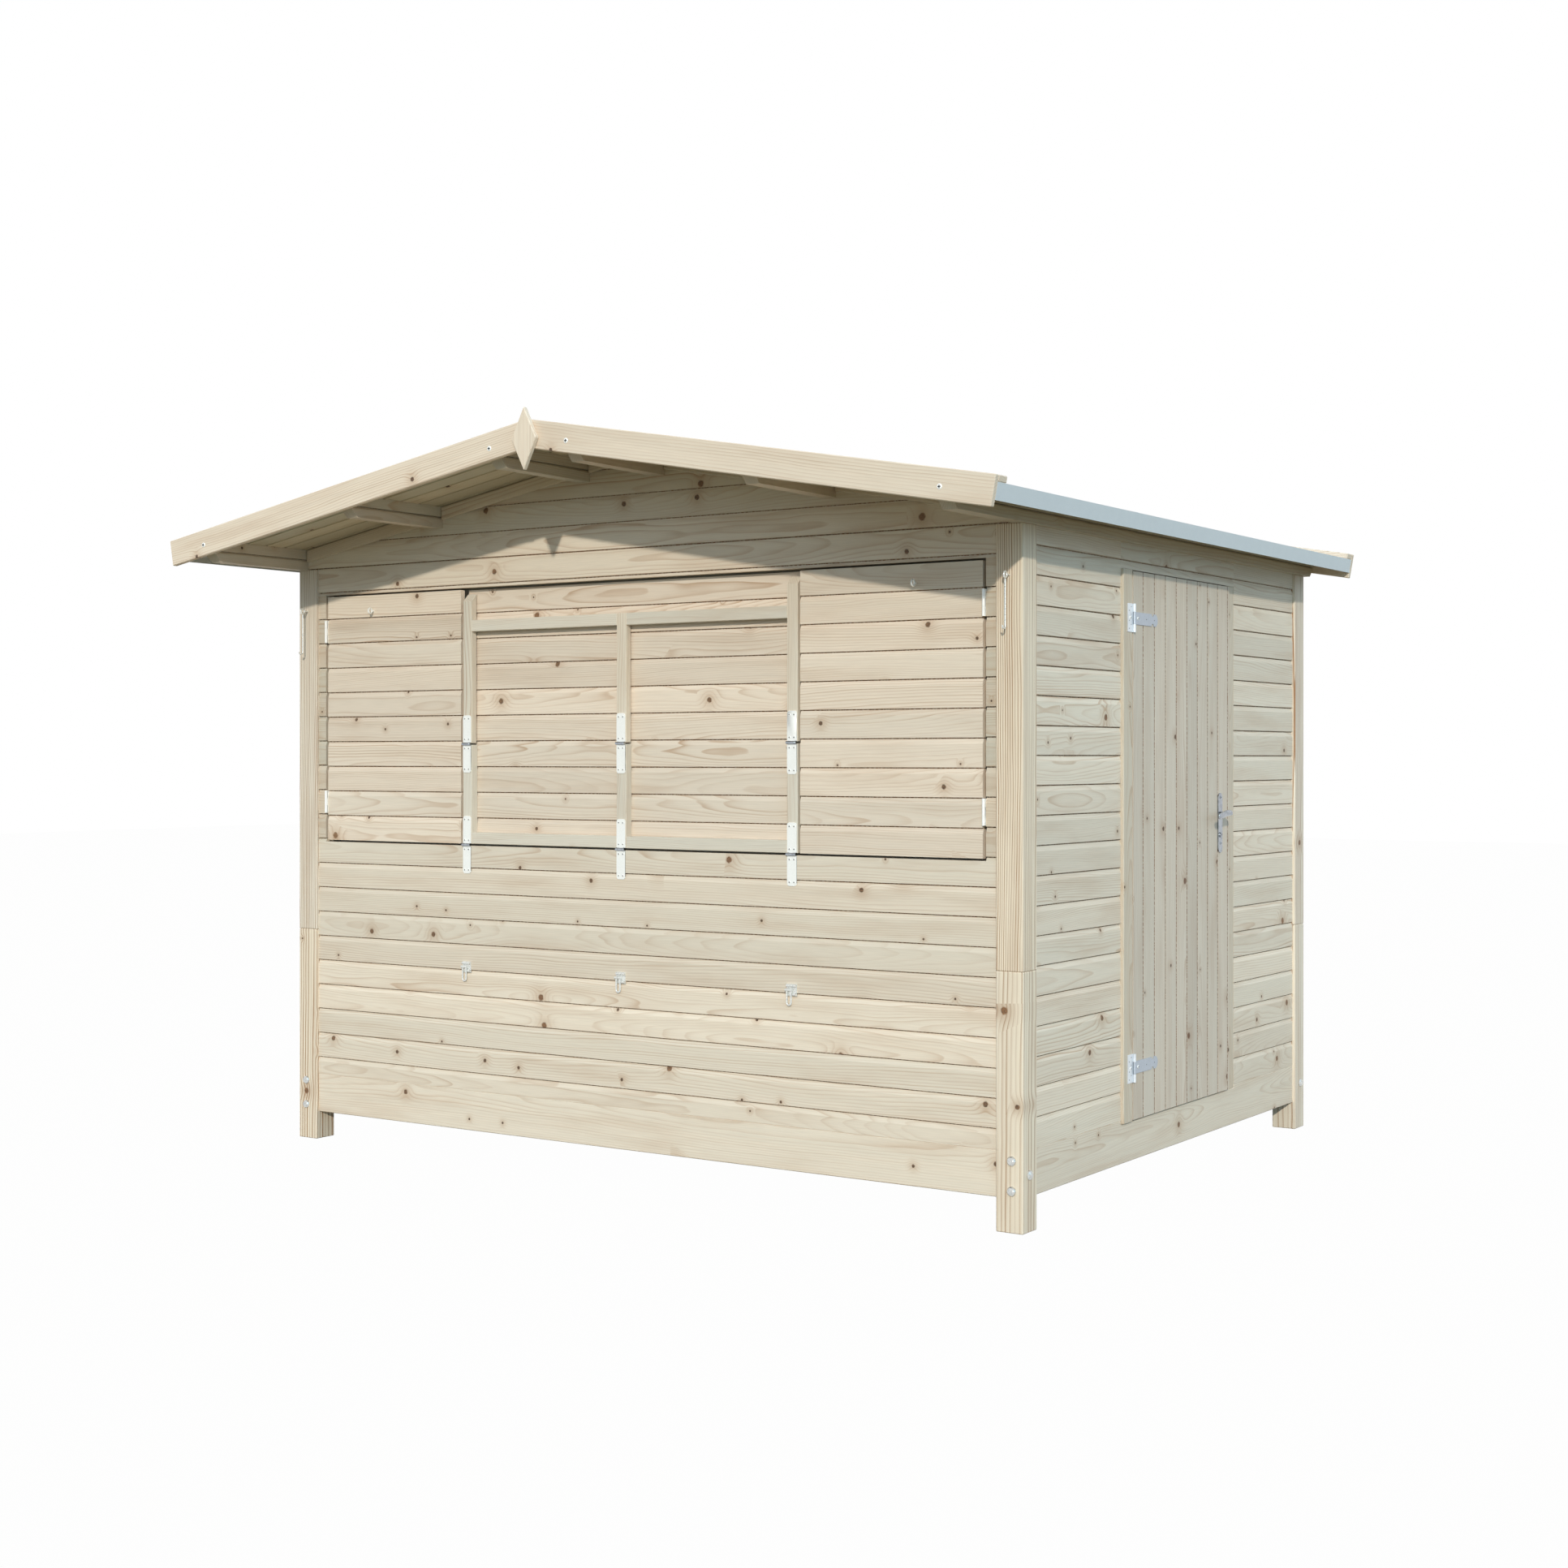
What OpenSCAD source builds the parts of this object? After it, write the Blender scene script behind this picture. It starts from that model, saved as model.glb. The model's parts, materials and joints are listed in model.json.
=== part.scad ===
// Wooden market hut: boarded walls between four corner posts under a low gable roof,
// with two side-hung shutters, a boarded side door and a counter flap that folds down
// onto its own hinged brace frame.
// Millimetres, +Z up, front towards -Y, origin on the ground under the middle of the hut.

/* [Frame] */
// Width over the corner posts
hut_w = 3000; // [2800:10:3600]
// Depth over the corner posts
hut_d = 2300; // [2200:10:3000]
// Height of the corner posts
post_h = 2093; // [2080:1:2300]
// Side of the square corner posts
post_w = 90; // [80:1:110]
// Height at which the two lengths of a post meet
post_joint_z = 771; // [400:1:1000]
// Width of the saw joint between the two lengths of a post
post_joint_gap = 0.6; // [0.2:0.1:0.9]

/* [Walls and floor] */
// Thickness of the wall boards
wall_t = 26; // [22:1:32]
// How far the wall boards lie behind the post faces
wall_inset = 10; // [5:1:16]
// Clear height under the skirt boards
leg_h = 100; // [60:1:150]
// Height of the skirt boards
skirt_h = 140; // [120:1:180]
// Thickness of the floor boards
floor_t = 22; // [18:1:28]
// How far the floor lies below the top of the skirts
floor_drop = 12; // [6:1:20]
// Width of a floor joist
joist_w = 45; // [35:1:60]
// Number of floor joists
joist_count = 11; // [11:1:15]

/* [Front opening] */
// Height of the sill under the shutters and the counter
sill_z = 1094; // [1000:1:1100]
// Height of the gable boards between the opening and the post tops
head_h = 97; // [90:1:140]
// Gap above and below the shutters and the counter
hatch_gap = 7; // [6:0.5:10]
// Gap between the counter and a shutter
leaf_gap = 10; // [7:0.5:15]
// Width of the jamb studs beside the opening
jamb_w = 49; // [45:1:70]
// Gap between a closed leaf and the stop behind it
stop_gap = 6; // [5:0.5:8]
// Lap of the rails behind the head and the sill
rail_lap = 40; // [25:1:60]
// Gap between those rails and the closed counter
rail_gap = 6; // [5:0.5:10]
// Height of the ledges behind the shutters and the door
ledge_h = 90; // [70:1:120]
// Thickness of those ledges
ledge_t = 20; // [16:1:28]
// Distance from a leaf's edge to the ends of its ledges
ledge_inset = 40; // [30:1:60]
// Distance from a leaf's top or bottom to its ledges
ledge_margin = 120; // [80:1:160]

/* [Counter] */
// Width of the counter flap
counter_w = 1402; // [1200:2:1500]
// Thickness of the counter boards
counter_t = 20; // [16:1:28]
// Width of the battens and rails
batten_w = 40; // [38:1:50]
// Depth of the battens and rails on the counter
batten_d = 31; // [25:1:40]
// Gap between the brace frame and the counter boards
brace_gap = 5; // [5:0.5:8]
// Gap between the hinged ends of the battens
batten_gap = 6; // [5:0.5:10]
// Gap between the brace feet and the wall when the brace is set
foot_gap = 8; // [5:0.5:12]
// Distance from the brace feet to the top of the closed counter
foot_margin = 14; // [5:1:40]
// Distance from the brace rail to the top of the closed counter
rail_drop = 107; // [90:1:140]

/* [Door] */
// Distance from the front post faces to the door opening
door_y = 694; // [600:1:720]
// Width of the hinge jamb
hinge_jamb_w = 67; // [60:1:80]
// Width of the latch jamb
latch_jamb_w = 62; // [50:1:80]
// How far the hinge jamb stands proud of the wall boards
jamb_proud = 10; // [6:1:14]
// Depth of the door jambs behind the wall face
jamb_d = 56; // [50:1:70]
// Width of the door leaf
door_w = 799; // [700:1:850]
// Thickness of the door boards
door_t = 20; // [18:1:24]
// Height of the boards between the door opening and the post tops
door_head_h = 84; // [60:1:140]
// Gap around the door leaf
door_gap = 5; // [5:0.5:8]
// How far the door stops reach over the leaf's edges
door_stop = 12; // [8:1:16]

/* [Roof] */
// Slope of the roof in degrees
roof_pitch = 10; // [8:0.5:14]
// Overhang of the roof beyond the front posts
front_overhang = 470; // [300:5:600]
// Overhang of the roof beyond the rear posts
rear_overhang = 100; // [80:5:300]
// Distance from the middle to the top corners of the barge boards
roof_run = 1662; // [1580:1:2000]
// Height of the barge boards
barge_h = 90; // [70:1:120]
// Thickness of the barge boards
barge_t = 20; // [16:1:28]
// Width of the cap strips behind the barge boards
cap_w = 50; // [40:1:70]
// Thickness of the cap strips
cap_t = 20; // [14:1:28]
// Thickness of the roof sheet
sheet_t = 2; // [1:0.5:3]
// Height of the sheet's turned-down eave edge
eave_drop = 50; // [40:1:60]
// Thickness of the roof deck
deck_t = 18; // [16:1:28]
// Seating gap between the sloping deck and what carries it
deck_seat = 0.3; // [0.1:0.1:0.6]
// Width of the purlins
purlin_w = 48; // [40:1:60]
// Height of the eave purlins
purlin_h = 70; // [60:1:100]
// Overhang of the eave purlins beyond the posts
purlin_out = 10; // [0:1:20]
// Distance from the middle to the ridge purlins
ridge_purlin_x = 157; // [120:1:220]
// Distance from the middle to the middle purlins
mid_purlin_x = 820; // [700:1:900]
// Length of the bevel under the purlin ends
purlin_bevel = 40; // [20:1:50]
// Width of the diamond finial
finial_w = 100; // [80:1:140]
// Height of the diamond finial
finial_h = 200; // [160:1:260]
// Thickness of the diamond finial
finial_t = 18; // [12:1:24]
// Rise of the finial's tip above the barge boards
finial_rise = 37; // [20:1:60]

/* [Hardware] */
// Width of the strap hinges on the counter
strap_w = 36; // [30:1:38]
// Length of one leaf of a strap hinge
strap_len = 100; // [80:1:110]
// Thickness of the hinge leaves
leaf_t = 2.5; // [2:0.5:3]
// Diameter of the hinge knuckles
knuckle_d = 10; // [9:0.5:12]
// Diameter of the hinge pins
pin_d = 5; // [4:0.5:6]
// Clearance round pins and between knuckles
hinge_clear = 0.4; // [0.3:0.1:0.6]
// Height of the butt hinges on the shutters
butt_h = 81; // [70:1:100]
// Distance from a shutter's bottom to its lower hinge
butt_low = 139; // [100:1:180]
// Distance from a shutter's top to its upper hinge
butt_high = 126; // [100:1:180]
// Height of the plates of the door's T hinges
tee_h = 92; // [80:1:110]
// Width of the plates of the door's T hinges
tee_w = 44; // [36:1:50]
// Length of the straps of the door's T hinges
tee_len = 188; // [150:1:230]
// Height of the straps of the door's T hinges
tee_strap_h = 40; // [34:1:46]
// Distance from the door's bottom to its lower hinge
tee_low = 168; // [140:1:220]
// Distance from the door's top to its upper hinge
tee_high = 152; // [140:1:220]
// Height of the lock plate
lock_h = 208; // [180:1:240]
// Width of the lock plate
lock_w = 36; // [30:1:45]
// Thickness of the lock plate
lock_t = 4; // [3:0.5:6]
// Distance from the lock plate's middle to the door's latch edge
lock_inset = 87; // [60:1:100]
// Height of the lever's spindle above the door's bottom
lever_rise = 972; // [900:1:1050]
// Distance from the lever's spindle up to the lock plate's top
lock_above = 73; // [60:1:90]
// Diameter of the lever
lever_d = 15; // [12:1:18]
// Distance from the door to the lever's middle line
lever_out = 48; // [40:1:60]
// Length of the lever
lever_len = 115; // [100:1:130]
// Bend radius of the lever
lever_bend = 16; // [14:1:20]
// Side of the square latch plates under the brace feet
latch_w = 38; // [30:1:45]
// Thickness of the latch plates
latch_t = 3; // [2:0.5:4]
// Gap between the set brace feet and the latch plates under them
latch_gap = 14; // [8:1:20]
// Wire diameter of the latch loops and eyes
wire_d = 6; // [5:0.5:7]
// Wire diameter of the cabin hooks
hook_d = 5; // [4:0.5:5.5]
// Diameter of the rolled bars on the latch plates
latch_roll_d = 9; // [8:0.5:10]
// Length of the latch loops, from the middle of a plate
loop_len = 40; // [34:1:46]
// Middle radius of the latch loops
loop_r = 8; // [7:0.5:10]
// Distance from the post tops down to the hooks' eyes
hook_drop = 153; // [100:1:200]
// Length of the cabin hooks
hook_len = 168; // [140:1:190]
// Distance from the post faces to the hooks
hook_out = 26; // [20:1:32]
// Middle radius of the eyes and hook ends
eye_r = 9; // [8:0.5:12]
// Distance from a shutter's hinge edge to its eye
shutter_eye_x = 230; // [180:1:260]
// Distance from a shutter's top to its eye
shutter_eye_drop = 58; // [40:1:80]

/* [Hidden] */
$fn = 48;
side_x = hut_w / 2;
hut_len = finial_t + front_overhang + hut_d + rear_overhang;
front_y = finial_t + front_overhang - hut_len / 2;
rear_y = front_y + hut_d;
post_in_x = side_x - post_w;

// Faces of the wall boards, from outside in
wall_x = side_x - wall_inset;
wall_in_x = wall_x - wall_t;
wall_y = front_y + wall_inset;
wall_in_y = wall_y + wall_t;
back_y = rear_y - wall_inset;
back_in_y = back_y - wall_t;
skirt_top = leg_h + skirt_h;
floor_z = skirt_top - floor_drop;

// Front opening
head_z = post_h - head_h;
leaf_low = sill_z + hatch_gap;
leaf_high = head_z - hatch_gap;
jamb_x = post_in_x - jamb_w;
shutter_in_x = counter_w / 2 + leaf_gap;
shutter_t = wall_t - stop_gap;

// Hinges stand on the outer faces: the axis lies this far in front of the wood
axis_off = knuckle_d / 2 + hinge_clear;
shutter_axis = [jamb_x + axis_off, wall_y - axis_off];
counter_axis = [wall_y - axis_off, sill_z + hatch_gap / 2];
door_axis = [side_x - wall_inset + jamb_proud + axis_off, front_y + door_y + hinge_jamb_w + door_gap / 2];

// The brace leans at 45 degrees, so its feet are cut at 45 degrees
brace_d = batten_d - brace_gap;
flap_rise = leaf_high - counter_axis[1];
brace_rise = (flap_rise - foot_margin - brace_d - axis_off - sqrt(2) * (axis_off - foot_gap)) / (1 + sqrt(2));
brace_axis = [counter_axis[0], counter_axis[1] + brace_rise];
foot_reach = sqrt(2) * (brace_rise + axis_off - foot_gap);
foot_low = counter_axis[1] - (2 * (axis_off + brace_d) + foot_reach) / sqrt(2);
batten_x = counter_w / 2 - batten_w / 2;
board_y = wall_y + batten_d;

// Door, in the right-hand wall
door_face_x = wall_x + jamb_proud;
door_in_x = door_face_x - door_t;
opening_y0 = front_y + door_y + hinge_jamb_w;
opening_y1 = opening_y0 + door_w + 2 * door_gap;
latch_jamb_y = opening_y1 + latch_jamb_w;
door_y0 = opening_y0 + door_gap;
door_y1 = door_y0 + door_w;
door_low = floor_z + door_gap;
door_head = post_h - door_head_h;
door_high = door_head - door_gap;
jamb_in_x = wall_x - jamb_d;
lock_y = door_y1 - lock_inset;
lever_z = door_low + lever_rise;
lever_bore = lever_d + 2 * hinge_clear;

// Roof: depths are measured square to the slope, down from the top of the barge boards
sheet_n = cap_t;
deck_n = sheet_n + sheet_t;
deck_under_n = deck_n + deck_t;
under_n = deck_under_n + deck_seat;
eave_purlin_x = side_x + purlin_out - purlin_w / 2;
ridge_z = post_h + purlin_h + eave_purlin_x * tan(roof_pitch) + under_n / cos(roof_pitch);
barge_y = front_y - front_overhang;
roof_y0 = barge_y + barge_t;
rear_barge_y = rear_y + rear_overhang;
roof_y1 = rear_barge_y - barge_t;
deck_run = roof_run - sheet_t;
apex_split = 0.4;

wood = "#d9c3a0";
pale_wood = "#e2d0b2";
zinc = "#c3cad1";
sheet_grey = "#b7c4ce";
chrome = "#d5d8dc";

// Box between two limits on each axis
module span(x, y, z) {
  translate([x[0], y[0], z[0]])
    cube([x[1] - x[0], y[1] - y[0], z[1] - z[0]]);
}

// Shapes are drawn on the right-hand side (side = 1) and mirrored for the left (side = -1)
module on_side(side) {
  mirror([side < 0 ? 1 : 0, 0, 0])
    children();
}

// Profile in X and Z, drawn out along Y
module drawn(y) {
  translate([0, y[1], 0])
    rotate([90, 0, 0])
      linear_extrude(y[1] - y[0])
        children();
}

// Corner posts, each of two lengths
module corner_post(side, y) {
  color(wood)
    on_side(side) {
      span([post_in_x, side_x], [y, y + post_w], [0, post_joint_z - post_joint_gap]);
      span([post_in_x, side_x], [y, y + post_w], [post_joint_z, post_h]);
    }
}

// Skirts and floor
module front_skirt() {
  color(pale_wood)
    span([-post_in_x, post_in_x], [wall_y, wall_in_y], [leg_h, skirt_top]);
}

module rear_skirt() {
  color(pale_wood)
    span([-post_in_x, post_in_x], [back_in_y, back_y], [leg_h, skirt_top]);
}

module side_skirt() {
  span([wall_in_x, wall_x], [front_y + post_w, rear_y - post_w], [leg_h, skirt_top]);
}

module left_skirt() {
  color(pale_wood)
    on_side(-1)
      side_skirt();
}

// Notched down to the floor across the doorway
module right_skirt() {
  color(pale_wood)
    difference() {
      side_skirt();
      span([wall_in_x - 1, wall_x + 1], [front_y + door_y, latch_jamb_y], [floor_z, skirt_top + 1]);
    }
}

module floor_frame() {
  first = -post_in_x;
  pitch = (2 * post_in_x - joist_w) / (joist_count - 1);
  color(wood) {
    span([-post_in_x, post_in_x], [wall_in_y, wall_in_y + joist_w], [leg_h, floor_z - floor_t]);
    span([-post_in_x, post_in_x], [back_in_y - joist_w, back_in_y], [leg_h, floor_z - floor_t]);
    difference() {
      for (i = [0 : joist_count - 1])
        span([first + i * pitch, first + i * pitch + joist_w], [wall_in_y, back_in_y],
             [leg_h, floor_z - floor_t]);
      corner_clearance();
    }
  }
}

module corner_clearance() {
  for (side = [-1, 1], y = [front_y, rear_y - post_w])
    on_side(side)
      span([post_in_x, side_x], [y, y + post_w], [0, post_h]);
}

module floor_boards() {
  color(wood)
    difference() {
      span([-wall_in_x, wall_in_x], [wall_in_y, back_in_y], [floor_z - floor_t, floor_z]);
      corner_clearance();
    }
}

// Height of the seats under the deck at a distance from the middle
function under_z(x) = ridge_z - under_n / cos(roof_pitch) - x * tan(roof_pitch);

// Gable end from a given height up to the deck, notched round the purlins
module gable_profile(low) {
  purlin_in_x = eave_purlin_x - purlin_w / 2;
  difference() {
    polygon([
      [-post_in_x, low], [post_in_x, low], [post_in_x, post_h],
      [purlin_in_x, post_h], [purlin_in_x, under_z(purlin_in_x)], [0, under_z(0)],
      [-purlin_in_x, under_z(purlin_in_x)], [-purlin_in_x, post_h], [-post_in_x, post_h]
    ]);
    for (side = [-1, 1], x = [ridge_purlin_x, mid_purlin_x])
      translate([side * x - purlin_w / 2, under_z(x) - purlin_h])
        square([purlin_w, 2 * purlin_h]);
  }
}

// Walls
module front_wall() {
  color(pale_wood)
    span([-post_in_x, post_in_x], [wall_y, wall_in_y], [skirt_top, sill_z]);
}

module front_gable() {
  color(pale_wood)
    drawn([wall_y, wall_in_y])
      gable_profile(head_z);
}

module rear_wall() {
  color(pale_wood)
    drawn([back_in_y, back_y])
      gable_profile(skirt_top);
}

module left_wall() {
  color(pale_wood)
    on_side(-1)
      span([wall_in_x, wall_x], [front_y + post_w, rear_y - post_w], [skirt_top, post_h]);
}

module right_wall_front() {
  color(pale_wood)
    span([wall_in_x, wall_x], [front_y + post_w, front_y + door_y], [skirt_top, post_h]);
}

module right_wall_rear() {
  color(pale_wood)
    span([wall_in_x, wall_x], [latch_jamb_y, rear_y - post_w], [skirt_top, post_h]);
}

module right_wall_over_door() {
  color(pale_wood)
    span([wall_in_x, wall_x], [front_y + door_y, latch_jamb_y], [door_head, post_h]);
}

// Studs behind the boards, beside the front opening
module front_jamb(side) {
  color(wood)
    on_side(side) {
      span([jamb_x, post_in_x], [wall_in_y, front_y + post_w], [floor_z, post_h]);
      span([jamb_x + 2 * axis_off, post_in_x], [wall_y, wall_in_y], [sill_z, head_z]);
    }
}

// Rails between those studs, behind the head and the sill
module opening_rails() {
  color(wood)
    for (z = [[leaf_high - rail_lap, head_z + rail_lap], [sill_z - rail_lap, leaf_low + rail_lap]])
      span([-jamb_x, jamb_x], [board_y + counter_t + rail_gap, front_y + post_w], z);
}

// Door jambs, each with the strip that stops the leaf
module door_hinge_jamb() {
  color(pale_wood) {
    span([jamb_in_x, door_face_x], [front_y + door_y, opening_y0], [floor_z, door_head]);
    span([jamb_in_x, door_in_x - stop_gap], [front_y + door_y, opening_y0 + door_stop], [floor_z, door_head]);
  }
}

module door_latch_jamb() {
  color(pale_wood) {
    span([jamb_in_x, wall_x], [opening_y1, latch_jamb_y], [floor_z, door_head]);
    span([jamb_in_x, door_in_x - stop_gap], [opening_y1 - door_stop, latch_jamb_y], [floor_z, door_head]);
  }
}

// Purlin with its top on the slope and its ends bevelled underneath
module purlin(side, x) {
  low = under_z(x) - purlin_h;
  inner = x - purlin_w / 2;
  outer = x + purlin_w / 2;
  color(wood)
    on_side(side)
      difference() {
        drawn([roof_y0, roof_y1])
          polygon([[inner, low], [outer, low], [outer, under_z(outer)], [inner, under_z(inner)]]);
        for (end = [[roof_y0, 1], [roof_y1, -1]])
          translate([x, end[0], low])
            rotate([45, 0, 0])
              cube([purlin_w + 2, sqrt(2) * purlin_bevel, sqrt(2) * purlin_bevel], center = true);
      }
}

// Square-cut eave end of a roof layer at a depth below the barge tops
function eave_end(run, n) = [
  run - n * sin(roof_pitch),
  ridge_z - run * tan(roof_pitch) - n * cos(roof_pitch)
];

function ridge_end(x, n) = [x, ridge_z - n / cos(roof_pitch) - x * tan(roof_pitch)];

// Layer of one slope between two depths, from the ridge to its square-cut eave end
module slope_layer(n0, n1, run, y) {
  drawn(y)
    polygon([
      ridge_end(apex_split, n0), eave_end(run, n0), eave_end(run, n1), ridge_end(apex_split, n1)
    ]);
}

module roof_deck(side) {
  color(wood)
    on_side(side)
      slope_layer(deck_n, deck_under_n, deck_run, [roof_y0, roof_y1]);
}

// Sheet over the deck, turned down over its eave end
module roof_sheet(side) {
  color(sheet_grey)
    on_side(side)
      drawn([roof_y0, roof_y1])
        polygon([
          ridge_end(apex_split, sheet_n), eave_end(roof_run, sheet_n),
          eave_end(roof_run, sheet_n + eave_drop), eave_end(deck_run, sheet_n + eave_drop),
          eave_end(deck_run, deck_n), ridge_end(apex_split, deck_n)
        ]);
}

module barge(side, y) {
  color(wood)
    on_side(side)
      slope_layer(0, barge_h, roof_run, [y, y + barge_t]);
}

// Strips that hold the sheet down behind the barge boards
module cap_strips(y) {
  color(wood)
    for (side = [-1, 1])
      on_side(side)
        slope_layer(0, cap_t, roof_run, [y, y + cap_w]);
}

module finial() {
  color(wood)
    translate([0, 0, ridge_z + finial_rise - finial_h / 2])
      drawn([barge_y - finial_t, barge_y])
        polygon([[0, finial_h / 2], [finial_w / 2, 0], [0, -finial_h / 2], [-finial_w / 2, 0]]);
}

// Knuckle barrel on the X axis between two places
module barrel(x, d) {
  translate([x[0], 0, 0])
    rotate([0, 90, 0])
      cylinder(d = d, h = x[1] - x[0]);
}

// Leaf outline rising from the hinge line, with its far corners rounded
module leaf_outline(w, len) {
  r = w / 4;
  translate([-w / 2, 0])
    square([w, len - r]);
  translate([-w / 2 + r, 0])
    square([w - 2 * r, len]);
  for (x = [-1, 1])
    translate([x * (w / 2 - r), len - r])
      circle(r);
}

// Plate of a hinge that lies on the wood, clear of the other leaf's knuckles
module leaf_plate(w, len) {
  start = knuckle_d / 2 + hinge_clear;
  translate([0, axis_off, 0])
    rotate([90, 0, 0])
      linear_extrude(leaf_t)
        difference() {
          leaf_outline(w, len);
          translate([-w, -1])
            square([2 * w, start + 1]);
        }
}

// One knuckle with the neck that joins it to its plate
module knuckle(x) {
  barrel(x, knuckle_d);
  span(x, [axis_off - leaf_t, axis_off], [0, knuckle_d / 2 + hinge_clear]);
}

// Fixed leaf: two outer knuckles and the pin
module pin_leaf(w, inner, len) {
  leaf_plate(w, len);
  knuckle([-w / 2, -inner / 2]);
  knuckle([inner / 2, w / 2]);
  barrel([-w / 2 - pin_d / 2, w / 2], pin_d);
}

// Moving leaf: one inner knuckle bored for the pin
module bored_leaf(w, inner, len) {
  half = inner / 2 - hinge_clear;
  difference() {
    union() {
      leaf_plate(w, len);
      knuckle([-half, half]);
    }
    barrel([-w, w], pin_d + 2 * hinge_clear);
  }
}

// Places of the three strap hinges across the counter
strap_x = [-batten_x, 0, batten_x];

module at_hinges(axis) {
  for (x = strap_x)
    translate([x, axis[0], axis[1]])
      children();
}

module downward() {
  mirror([0, 0, 1])
    children();
}

// Counter flap
module counter_panel() {
  color(pale_wood)
    span([-counter_w / 2, counter_w / 2], [board_y, board_y + counter_t], [leaf_low, leaf_high]);
}

module batten(x, y, z) {
  span([x - batten_w / 2, x + batten_w / 2], y, z);
}

// Lower lengths of the battens, joined by the bottom rail
module counter_battens() {
  color(wood) {
    for (x = strap_x)
      batten(x, [wall_y, board_y], [leaf_low, brace_axis[1] - batten_gap / 2]);
    span([-batten_x, batten_x], [wall_y, board_y], [leaf_low, leaf_low + batten_w]);
  }
}

module counter_hinge_leaves() {
  color(zinc) {
    at_hinges(counter_axis)
      bored_leaf(strap_w, strap_w / 2, strap_len);
    at_hinges(brace_axis)
      downward()
        pin_leaf(strap_w, strap_w / 2, strap_len);
  }
}

module sill_hinge_leaves() {
  color(zinc)
    at_hinges(counter_axis)
      downward()
        pin_leaf(strap_w, strap_w / 2, strap_len);
}

module brace_hinge_leaves() {
  color(zinc)
    at_hinges(brace_axis)
      bored_leaf(strap_w, strap_w / 2, strap_len);
}

// Outer leg of the brace, its foot cut to meet the wall
module brace_leg(x) {
  low = batten_gap / 2;
  near = axis_off;
  far = axis_off + brace_d;
  translate([x + batten_w / 2, brace_axis[0], brace_axis[1]])
    rotate([90, 0, -90])
      linear_extrude(batten_w)
        polygon([[-near, low], [-far, low], [-far, foot_reach + far], [-near, foot_reach + near]]);
}

module brace_frame() {
  rail_top = leaf_high - rail_drop;
  brace_y = [wall_y, wall_y + brace_d];
  color(wood) {
    for (side = [-1, 1])
      brace_leg(side * batten_x);
    batten(0, brace_y, [brace_axis[1] + batten_gap / 2, rail_top - batten_w]);
    span([-batten_x, batten_x], brace_y, [rail_top - batten_w, rail_top]);
  }
}

// Shutters, with ledges across the back
module shutter(side) {
  ledge_x = [shutter_in_x + ledge_inset, jamb_x - ledge_inset];
  shutter_in_y = wall_y + shutter_t;
  color(pale_wood)
    on_side(side) {
      span([shutter_in_x, jamb_x], [wall_y, shutter_in_y], [leaf_low, leaf_high]);
      for (z = [leaf_low + ledge_margin, leaf_high - ledge_margin - ledge_h])
        span(ledge_x, [shutter_in_y, shutter_in_y + ledge_t], [z, z + ledge_h]);
    }
}

butt_z = [leaf_low + butt_low, leaf_high - butt_high];

module at_butts() {
  for (z = butt_z)
    translate([shutter_axis[0], shutter_axis[1], z])
      children();
}

module upright_barrel(z, d) {
  translate([0, 0, z[0]])
    cylinder(d = d, h = z[1] - z[0]);
}

// Leaf on the shutter's edge, with the middle knuckle
module butt_edge_leaf() {
  half = butt_h / 6 - hinge_clear;
  difference() {
    union() {
      span([-axis_off, leaf_t - axis_off], [0, axis_off + shutter_t], [-half, half]);
      span([-axis_off, leaf_t - axis_off], [axis_off, axis_off + shutter_t], [-butt_h / 2, butt_h / 2]);
      upright_barrel([-half, half], knuckle_d);
    }
    upright_barrel([-butt_h, butt_h], pin_d + 2 * hinge_clear);
  }
}

// Leaf on the edge of the wall beside the opening, with the outer knuckles and the pin
module butt_jamb_leaf() {
  back = axis_off + wall_t;
  reach = knuckle_d / 2;
  for (end = [-1, 1])
    translate([0, 0, end * butt_h / 3]) {
      upright_barrel([-butt_h / 6, butt_h / 6], knuckle_d);
      span([reach - leaf_t, reach], [0, back], [-butt_h / 6, butt_h / 6]);
    }
  span([reach - leaf_t, reach], [axis_off + leaf_t, back], [-butt_h / 2, butt_h / 2]);
  upright_barrel([-butt_h / 2, butt_h / 2], pin_d);
}

// Screw eye that stands out of a face at the origin, towards -Y
module screw_eye(out) {
  rotate([90, 0, 0])
    cylinder(d = wire_d, h = out - eye_r);
  translate([0, -out, 0])
    rotate([0, 90, 0])
      rotate_extrude()
        translate([eye_r, 0])
          circle(d = wire_d);
}

module shutter_fittings(side) {
  color(zinc)
    on_side(side) {
      at_butts()
        butt_edge_leaf();
      translate([jamb_x - shutter_eye_x, wall_y, leaf_high - shutter_eye_drop])
        screw_eye(2 * eye_r);
    }
}

module jamb_hinge_leaves() {
  color(zinc)
    for (side = [-1, 1])
      on_side(side)
        at_butts()
          butt_jamb_leaf();
}

// Door leaf with its ledges
module door_leaf() {
  ledge_y = [door_y0 + ledge_inset, door_y1 - ledge_inset];
  color(pale_wood) {
    span([door_in_x, door_face_x], [door_y0, door_y1], [door_low, door_high]);
    for (z = [door_low + ledge_margin, door_high - ledge_margin - ledge_h])
      span([door_in_x - ledge_t, door_in_x], ledge_y, [z, z + ledge_h]);
  }
}

tee_z = [door_low + tee_low, door_high - tee_high];

module at_tees() {
  for (z = tee_z)
    translate([door_axis[0], door_axis[1], z])
      children();
}

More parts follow.
